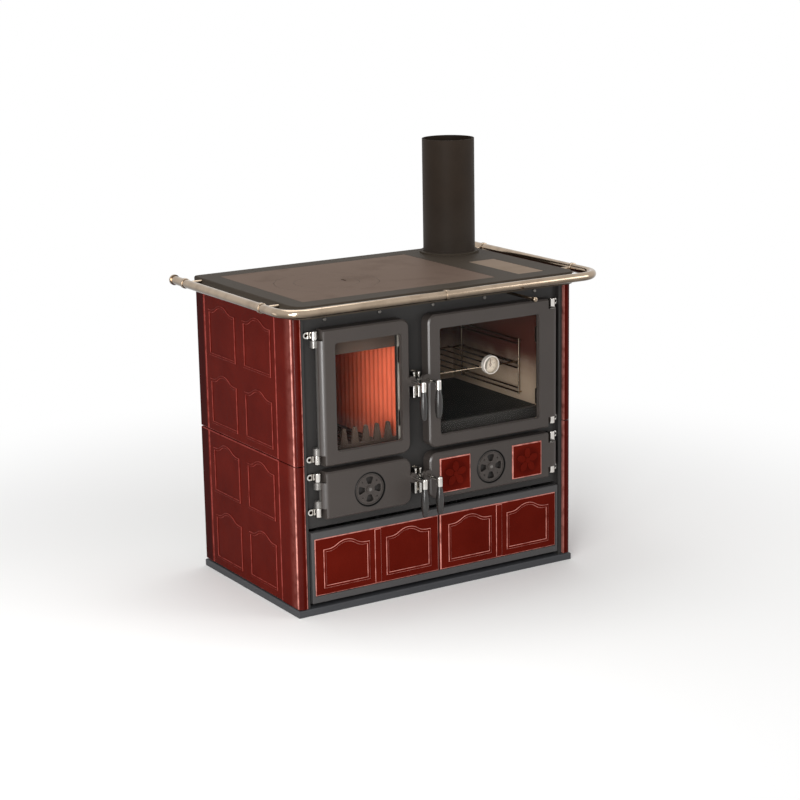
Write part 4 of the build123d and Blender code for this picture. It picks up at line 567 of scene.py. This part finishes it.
grip_lacquer = Finish("grip_lacquer", IOR=1.5)
grip_grain = grip_lacquer.noise(1.0, 5.0, grip_lacquer.stretch((380.0, 380.0, 16.0)))
grip_tone = grip_lacquer.blend(grip_grain, tone(0.009, 0.0080, 0.0074), tone(0.026, 0.0230, 0.0212))
grip_lacquer.give(Base_Color=grip_tone, Roughness=0.13 + grip_grain * 0.10)
grip_lacquer.relief(grip_grain, 0.00002)
dress(grip_lacquer, "fire_door_grip", "oven_door_grip", "ash_door_grip", "lower_door_grip")


# Door panes: heat-proof glass, clear, held behind each window by clips. A faint bloom of soot lies along
# the edges of the pane.

def glass(name, clear_tone, darker_share=None):
    """Clear glass: what lies behind shows through, with a mirror's share that grows at the edge of view.
    The soot mask gives the share that is dusty."""
    finish = Finish(name, Metallic=1.0, Roughness=0.03, Base_Color=tone(0.92, 0.93, 0.93))
    clear = finish.node("ShaderNodeBsdfTransparent", sockets={"Color": clear_tone})
    if darker_share:
        dusty = finish.node("ShaderNodeBsdfDiffuse", sockets={"Color": tone(0.045, 0.036, 0.030)})
        clear = finish.node("ShaderNodeMixShader", sockets={0: darker_share(finish), 1: clear, 2: dusty})
    share = finish.node("ShaderNodeFresnel", sockets={"IOR": 1.11})
    finish.show(share, clear, Signal(finish, finish.shader.outputs[0]))
    return finish


def pane_bloom(node):
    """A function that gives the soot on a pane: a cloudy margin that thins out inwards from its edges."""
    centre, high, margin = middle(node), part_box(node)[1], 0.035

    def bloom(finish):
        x, _, z = finish.axes()
        across = abs(x - centre.x) - (high.x - centre.x)
        upright = abs(z - centre.z) - (high.z - centre.z)
        return finish.step(across.most(upright), -margin, 0.0) * (0.03 + finish.noise(30.0, 3.0) * 0.14)

    return bloom


for door in ("fire_door", "oven_door"):
    node = f"{door}_glass"
    dress(glass(f"{door}_pane", tone(0.97, 0.965, 0.955), pane_bloom(node)), node)


# Door seals: round glass-fibre rope glued into the rim of each door's hollow back, where the frame's lip
# presses on it. It is braided, pale grey, and browned by smoke.

def rope_seal(name, door, box, depth, finish):
    """A braided rope along a rounded rectangle: a circle carried round the path, with two crossing
    helices of plaits raised on it."""
    x0, x1, z0, z1 = box
    radius, corner, pace_length, plait_length, sides = 0.0040, 0.013, 0.0022, 0.016, 20
    straights = [(x1 - x0) - 2 * corner, (z1 - z0) - 2 * corner]
    length = 2 * sum(straights) + 2 * np.pi * corner
    count = int(length / pace_length)
    along = np.linspace(0, length, count, endpoint=False)
    legs = np.array([straights[0], np.pi * corner / 2, straights[1], np.pi * corner / 2] * 2)
    starts = np.concatenate([[0], np.cumsum(legs)[:-1]])
    leg = np.searchsorted(starts, along, side="right") - 1
    into = along - starts[leg]
    heading = (leg // 2) * np.pi / 2 + np.where(leg % 2 == 1, into / corner, 0.0)
    pace = np.stack([np.cos(heading), np.sin(heading)], -1) * (length / count)
    path = np.array([x0 + corner, z0]) + np.vstack([np.zeros((1, 2)), np.cumsum(pace, 0)[:-1]])
    across = np.stack([-np.sin(heading), np.cos(heading)], -1)
    angle = np.linspace(0, 2 * np.pi, sides, endpoint=False)
    pitch = 2 * np.pi * along[:, None] / (length / round(length / plait_length))
    plait = np.abs(np.sin(3 * angle + pitch)) + np.abs(np.sin(3 * angle - pitch))
    spread = radius * (0.90 + 0.05 * plait)
    x = path[:, :1] + across[:, :1] * np.cos(angle) * spread
    z = path[:, 1:] + across[:, 1:] * np.cos(angle) * spread
    points = np.stack([x, depth + np.sin(angle) * spread, z], -1).reshape(-1, 3)
    ring = np.arange(len(points)).reshape(count, -1)
    ahead, after = np.roll(ring, -1, axis=0), np.roll(ring, -1, axis=1)
    faces = np.stack([ring, ahead, np.roll(ahead, -1, axis=1), after], -1).reshape(-1, 4)
    return solid(name, points, faces.tolist(), finish, door)


fibre = Finish("glass_fibre", Roughness=0.92, IOR=1.2)
fibre_smoke = fibre.step(fibre.noise(12.0, 4.0), 0.35, 0.7)
fibre_hair = fibre.noise(900.0, 2.0)
fibre_tone = fibre.blend(fibre_hair, tone(0.30, 0.285, 0.26), tone(0.52, 0.50, 0.46))
fibre.give(Base_Color=fibre.blend(fibre_smoke * 0.65, fibre_tone, tone(0.10, 0.08, 0.062)))
fibre.relief(fibre_hair, 0.0003)

seal_sink, seal_end = 0.0036, 0.021
seal_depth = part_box("fire_door")[1].y - seal_sink
for door in ("fire_door", "oven_door", "ash_door", "lower_door"):
    low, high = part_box(door)
    left = door in ("fire_door", "ash_door")
    hinge, latch = (0.0455, 0.035) if left else (0.051, 0.034)
    first, last = (low.x + hinge, high.x - latch) if left else (low.x + latch, high.x - hinge)
    outline = (first, last, low.z + seal_end, high.z - seal_end)
    rope_seal(f"{door}_rope", door, outline, seal_depth, fibre)


# Oven thermometer: a bright cup on the pane with a printed enamel dial, a dark pointer and a domed lens.
# The scale runs from 0 to 500 over the pointer's swing, with a ring of ticks and thin rings inside.

dial_low, dial_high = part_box("thermometer_case")
dial_x, _, dial_z = middle("thermometer_case")
case_base, case_wall = 0.006, 0.003
dial_floor = dial_high.y - case_base
dial_radius = (dial_high.x - dial_low.x) / 2 - case_wall
needle_swing = 130.0
number_size, number_ring, dial_thickness = 0.0044, 0.60 * dial_radius, 0.0004

satin_steel = Finish("satin_steel", Metallic=0.6, IOR=1.3)
satin_line = satin_steel.noise(1.0, 3.0, satin_steel.stretch((300.0, 300.0, 1500.0)))
satin_steel.give(Base_Color=satin_steel.blend(satin_line, tone(0.52, 0.475, 0.425), tone(0.68, 0.630, 0.570)))
satin_steel.give(Roughness=0.34 + satin_line * 0.16)
dress(satin_steel, "thermometer_case")

dial_print = Finish("dial_print", IOR=1.3)
print_x, _, print_z = dial_print.axes()
print_x, print_z = print_x - dial_x, print_z - dial_z
print_radius = far(print_x, print_z) / dial_radius
print_angle = print_x.math("ARCTAN2", print_x, print_z) * (180 / math.pi)
tick_turn = print_angle / 10.0 + 0.5
tick_phase = abs(tick_turn.math("FRACT", tick_turn) - 0.5)
tick = dial_print.step(tick_phase * print_radius, 0.085, 0.06)
tick = tick * dial_print.step(print_radius, 0.76, 0.78) * dial_print.step(print_radius, 0.92, 0.90)
tick = tick * dial_print.step(abs(print_angle), needle_swing + 2.0, needle_swing + 1.0)
ink = tick
for ring in (0.22, 0.42, 0.955):
    ink = ink.most(dial_print.step(abs(print_radius - ring), 0.028, 0.015) * 0.75)
enamel_cloud = dial_print.noise(160.0, 3.0)
enamel = dial_print.blend(enamel_cloud, tone(0.60, 0.515, 0.43), tone(0.69, 0.600, 0.51))
dial_print.give(Base_Color=dial_print.blend(ink * 0.8, enamel, tone(0.24, 0.210, 0.18)))
dial_print.give(Roughness=0.34 + enamel_cloud * 0.15)

dial_centre = [(dial_x, dial_floor, dial_z)]
dial_profile = [(reach * dial_radius, dial_thickness) for reach in (0.0, 0.5, 0.99)]
dial_profile += [(dial_radius, 0.0), (0.0, 0.0)]
dial_points, dial_faces = turned(dial_profile, dial_centre, (0, -1, 0), 64)
solid("dial_face", dial_points, dial_faces, dial_print, "oven_door")


def dial_number(text, angle):
    """The points and triangles of one printed number, set upright on the dial at its angle."""
    curve = bpy.data.curves.new("number", "FONT")
    curve.body = text
    curve.size = number_size
    curve.align_x, curve.align_y = "CENTER", "CENTER"
    holder = bpy.data.objects.new("number", curve)
    bpy.context.scene.collection.objects.link(holder)
    bpy.context.view_layer.update()
    flat = holder.to_mesh()
    flat.calc_loop_triangles()
    points = np.zeros(len(flat.vertices) * 3)
    flat.vertices.foreach_get("co", points)
    points = points.reshape(-1, 3)
    faces = np.zeros(len(flat.loop_triangles) * 3, int)
    flat.loop_triangles.foreach_get("vertices", faces)
    holder.to_mesh_clear()
    bpy.data.objects.remove(holder)
    bpy.data.curves.remove(curve)
    swing = math.radians(angle)
    x = dial_x + number_ring * math.sin(swing) + points[:, 0]
    y = np.full_like(x, dial_floor - dial_thickness - 0.0001)
    z = dial_z + number_ring * math.cos(swing) + points[:, 1]
    return np.stack([x, y, z], -1), faces.reshape(-1, 3)


number_points, number_faces, number_count = [], [], 0
for step in range(6):
    points, faces = dial_number(str(step * 100), (step / 5 * 2 - 1) * needle_swing)
    number_points.append(points)
    number_faces += (faces + number_count).tolist()
    number_count += len(points)
dial_ink = Finish("dial_ink", IOR=1.2)
ink_wear = dial_ink.noise(900.0, 2.0)
dial_ink.give(Base_Color=dial_ink.blend(ink_wear, tone(0.17, 0.148, 0.130), tone(0.26, 0.228, 0.200)))
dial_ink.give(Roughness=0.4 + ink_wear * 0.2)
solid("dial_numbers", np.vstack(number_points), number_faces, dial_ink, "oven_door")

needle_dark = Finish("needle_dark", IOR=1.3)
needle_wear = needle_dark.noise(500.0, 2.0)
needle_tone = needle_dark.blend(needle_wear, tone(0.20, 0.150, 0.125), tone(0.28, 0.210, 0.175))
needle_dark.give(Base_Color=needle_tone)
needle_dark.give(Roughness=0.34 + needle_wear * 0.15)
dress(needle_dark, "thermometer_needle")

lens_rise, lens_edge, lens_sink = 0.0016, 0.0006, 0.0026
lens_bow = [(dial_radius * reach, lens_rise * (1 - reach ** 2)) for reach in np.linspace(0, 1, 10)]
lens_centre = [(dial_x, dial_low.y + lens_sink, dial_z)]
lens_back = [(dial_radius, -lens_edge), (0.0, -lens_edge)]
lens_points, lens_faces = turned(lens_bow + lens_back, lens_centre, (0, -1, 0), 64)
lens_glass = glass("lens_glass", tone(0.98, 0.98, 0.97))
solid("dial_lens", lens_points, lens_faces, lens_glass, "oven_door")


# Firebox: welded plate, a cast grate, comb and baffle, sooty above and dusted with ash where it lies flat,
# lined with ribbed fireclay slabs that stay terracotta where the fire burns them clean. The terracotta is
# painted brighter than the clay's own, as a painted glow that stands in for the firelight.

fire_iron = Finish("fire_iron", IOR=1.2)
fire_up = fire_iron.facing()[2]
fire_patch = fire_iron.noise(16.0, 5.0)
fire_dust = fire_iron.step(fire_up, 0.55, 0.95) * fire_iron.step(fire_iron.noise(28.0, 4.0), 0.35, 0.65)
fire_rust = fire_iron.step(fire_iron.noise(60.0, 5.0), 0.56, 0.72)
fire_tone = fire_iron.blend(fire_patch, tone(0.058, 0.040, 0.032), tone(0.105, 0.074, 0.060))
fire_tone = fire_iron.blend(fire_rust * 0.4, fire_tone, tone(0.15, 0.065, 0.036))
fire_iron.give(Base_Color=fire_iron.blend(fire_dust * 0.6, fire_tone, tone(0.30, 0.285, 0.265)))
fire_iron.give(Roughness=0.66 + fire_patch * 0.25)
fire_iron.relief(fire_patch + fire_rust * 0.3, 0.0004)
dress(fire_iron, "firebox_shell", "grate", "log_retainer", "smoke_baffle", "ash_pan")

fireclay = Finish("fireclay", IOR=1.2)
clay_z = fireclay.axes()[2]
clay_low, clay_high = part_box("lining_right")
clay_patch = fireclay.noise(18.0, 5.0)
clay_soot = fireclay.step(clay_z + (clay_patch - 0.5) * 0.16, clay_high.z - 0.10, clay_high.z + 0.03)
clay_ash = fireclay.step(clay_z + (clay_patch - 0.5) * 0.08, clay_low.z + 0.07, clay_low.z)
clay_grit = fireclay.noise(480.0, 4.0)
# the clay's own terracotta, painted brighter as a glow that stands in for the firelight
clay_and_firelight = fireclay.blend(clay_patch, tone(0.66, 0.110, 0.052), tone(0.80, 0.178, 0.092))
clay_and_firelight = fireclay.blend(fireclay.step(clay_grit, 0.58, 0.75) * 0.4, clay_and_firelight, tone(0.92, 0.40, 0.26))
clay_and_firelight = fireclay.blend(clay_soot * 0.7, clay_and_firelight, tone(0.090, 0.045, 0.034))
fireclay.give(Base_Color=fireclay.blend(clay_ash * 0.4, clay_and_firelight, tone(0.44, 0.36, 0.31)))
fireclay.give(Roughness=0.82 + clay_grit * 0.12)
fireclay.relief(clay_grit, 0.0002)
dress(fireclay, "lining_left", "lining_right", "lining_back")


# Oven: a sheet-steel box behind the front frame, open towards its door. It is bright below the shelf;
# above the shelf its walls are painted dark brown as shade, and its floor is painted near black as shade.

oven_steel = Finish("oven_steel", Metallic=0.2, IOR=1.15)
oven_z = oven_steel.axes()[2]
oven_brush = oven_steel.noise(1.0, 4.0, oven_steel.stretch((9.0, 9.0, 700.0)))
oven_upper_shade = oven_steel.step(oven_z + (oven_steel.noise(8.0, 5.0) - 0.5) * 0.14, 0.50, 0.62)
oven_floor_shade = oven_steel.step(oven_steel.facing()[2], 0.5, 0.9)
oven_floor_shade = oven_floor_shade * oven_steel.step(oven_z, 0.475, 0.471) * oven_steel.step(oven_z, 0.460, 0.465)
oven_tone = oven_steel.blend(oven_brush, tone(0.42, 0.315, 0.225), tone(0.58, 0.450, 0.340))
# painted shade: the walls above the shelf are darkened
oven_tone = oven_steel.blend(oven_upper_shade, oven_tone, tone(0.080, 0.0210, 0.0140))
# painted shade: the floor is darkened to near black
oven_steel.give(Base_Color=oven_steel.blend(oven_floor_shade, oven_tone, tone(0.0075, 0.0090, 0.0088)))
oven_steel.give(Roughness=0.42 + oven_brush * 0.18 + oven_upper_shade * 0.1)
oven_steel.relief(oven_brush, 0.00003)
dress(oven_steel, "oven_box")


# Wood drawer and small tiles: two wide tiles set into the drawer's painted front, and two square ones
# with a low flower on the lower door, in the same oxblood glaze. A galvanised box holds the wood.

zinc = Finish("zinc_sheet", Metallic=0.85)
zinc_spangle = zinc.node("ShaderNodeTexVoronoi", sockets={"Vector": zinc.place(), "Scale": 75.0})
zinc_scuff = zinc.noise(1.0, 5.0, zinc.stretch((220.0, 9.0, 220.0)))
zinc.give(Base_Color=zinc.blend(zinc_spangle, tone(0.24, 0.243, 0.246), tone(0.36, 0.364, 0.368)))
zinc.give(Roughness=0.36 + zinc_scuff * 0.25)
zinc.relief(zinc_scuff, 0.00006)
dress(zinc, "drawer_box")


def front_shoulders(finish):
    """The slopes of a front tile, where it faces neither straight forwards nor square to that: pale lines of
    broken glaze with a painted highlight.
    """
    forward = abs(finish.facing()[1])
    return finish.step(forward, 0.975, 0.90) * finish.step(forward, 0.05, 0.25) * 0.8


def square_places(finish):
    """Places on the two square tiles, which stand a rosette's room apart: how far from the tile's nearest
    edge, how far from its middle, and how far behind the crest of the flower's eye."""
    low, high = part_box("lower_door_tiles")
    centre = middle("lower_door_tiles")
    inner, outer = 0.071, high.x - centre.x
    x, y, z = finish.axes()
    aside = abs(x - centre.x)
    across = (aside - inner).least(outer - aside)
    upright = (z - low.z).least(high.z - z)
    radius = far(aside - (inner + outer) / 2, z - centre.z)
    return across.least(upright), radius, y - low.y


def square_break_and_highlight(finish):
    """The outermost millimetres of each square tile: a pale line of broken glaze with a painted highlight."""
    return finish.step(square_places(finish)[0], 0.0034, 0.0020) * 0.85


def square_pool(finish):
    """The glaze that has run off the petals and lies thick round them."""
    _, radius, behind = square_places(finish)
    return finish.step(behind, 0.0018, 0.0027) * finish.step(radius, 0.050, 0.030) * 0.5


dress(glaze("drawer_glaze", front_shoulders), "drawer_tiles")
dress(glaze("flower_glaze", square_break_and_highlight, dark=square_pool), "lower_door_tiles")


# Studio: a pale floor that fades into a white surround, one large soft light from the front left and a
# small one nearer the tiles, a low strip and one from the left for the upright rounds, and weaker ones
# from the right and above.

def shown(nodes):
    """1 for a ray from the camera, or one that a bright or clear surface has sent on."""
    path = nodes.node("ShaderNodeLightPath").socket.node.outputs
    kinds = ("Is Camera Ray", "Is Glossy Ray", "Is Transmission Ray")
    camera, glossy, through = [Signal(nodes, path[kind]) for kind in kinds]
    return camera.most(glossy).most(through)


floor_finish = Finish("studio_floor", Base_Color=tone(0.92, 0.915, 0.905), Roughness=0.9, IOR=1.1)
floor_x, floor_y, _ = floor_finish.axes()
floor_far = floor_finish.step(far(floor_x, floor_y), 0.6, 2.2)
floor_white = floor_finish.node("ShaderNodeEmission", sockets={"Strength": 1.0})
floor_matt = Signal(floor_finish, floor_finish.shader.outputs[0])
floor_finish.show(floor_far * shown(floor_finish), floor_matt, floor_white)
floor_half, floor_drop = 30.0, 0.0005
floor_mesh = bpy.data.meshes.new("floor")
floor_turns = ((-1, -1), (1, -1), (1, 1), (-1, 1))
floor_corners = [(x * floor_half, y * floor_half, -floor_drop) for x, y in floor_turns]
floor_mesh.from_pydata(floor_corners, [], [(0, 1, 2, 3)])
floor_mesh.materials.append(floor_finish.material)
floor = bpy.data.objects.new("floor", floor_mesh)
bpy.context.scene.collection.objects.link(floor)

world = bpy.data.worlds.new("studio")
bpy.context.scene.world = world
world.use_nodes = True
surround = Nodes(world.node_tree)
room_light = 0.5
background = world.node_tree.nodes["Background"].inputs
surround.fill(background["Color"], tone(1.0, 1.0, 1.0))
surround.fill(background["Strength"], room_light + shown(surround) * (1.0 - room_light))


def soft_light(name, place, aim, width, height, power):
    """A rectangular lamp at a place, turned to its aim."""
    lamp = bpy.data.lights.new(name, "AREA")
    lamp.shape = "RECTANGLE"
    lamp.size, lamp.size_y, lamp.energy = width, height, power
    holder = bpy.data.objects.new(name, lamp)
    bpy.context.scene.collection.objects.link(holder)
    holder.visible_camera = False
    holder.location = place
    holder.rotation_euler = (Vector(aim) - Vector(place)).to_track_quat("-Z", "Y").to_euler()


soft_light("key", (-2.6, -3.2, 1.7), (0.0, 0.0, 0.6), 1.0, 2.8, 88.0)
soft_light("wash", (-1.45, -1.2, 0.75), (-0.45, -0.3, 0.45), 0.5, 0.9, 8.0)
soft_light("low_strip", (-1.5, -1.6, 0.28), (-0.3, -0.3, 0.5), 0.25, 0.5, 5.5)
soft_light("edge_strip", (-1.65, 0.55, 0.42), (-0.45, -0.35, 0.42), 0.5, 0.8, 2.0)
soft_light("fill", (3.4, -3.4, 1.8), (0.0, 0.0, 0.5), 1.6, 2.0, 38.0)
soft_light("top", (0.2, 0.6, 3.6), (0.0, 0.0, 0.8), 2.2, 1.6, 34.0)

azimuth, elevation, roll = np.radians([-31.71, 13.67, 0.98])
camera_place, camera_lens = (-2.9096, -4.7893, 1.8474), 90.8
level = np.array([np.cos(azimuth), np.sin(azimuth), 0.0])
forward = np.array([-np.sin(azimuth), np.cos(azimuth), 0.0]) * np.cos(elevation)
forward[2] = -np.sin(elevation)
plumb = np.cross(forward, level)
right = np.cos(roll) * level + np.sin(roll) * plumb
down = np.cos(roll) * plumb - np.sin(roll) * level
view = Matrix.Identity(4)
for row in range(3):
    view[row][0], view[row][1], view[row][2] = right[row], -down[row], -forward[row]
view.translation = camera_place
camera_data = bpy.data.cameras.new("camera")
camera_data.sensor_width = 36.0
camera_data.lens = camera_lens
camera = bpy.data.objects.new("camera", camera_data)
bpy.context.scene.collection.objects.link(camera)
camera.matrix_world = view
bpy.context.scene.camera = camera
bpy.context.scene.view_settings.view_transform = "Standard"
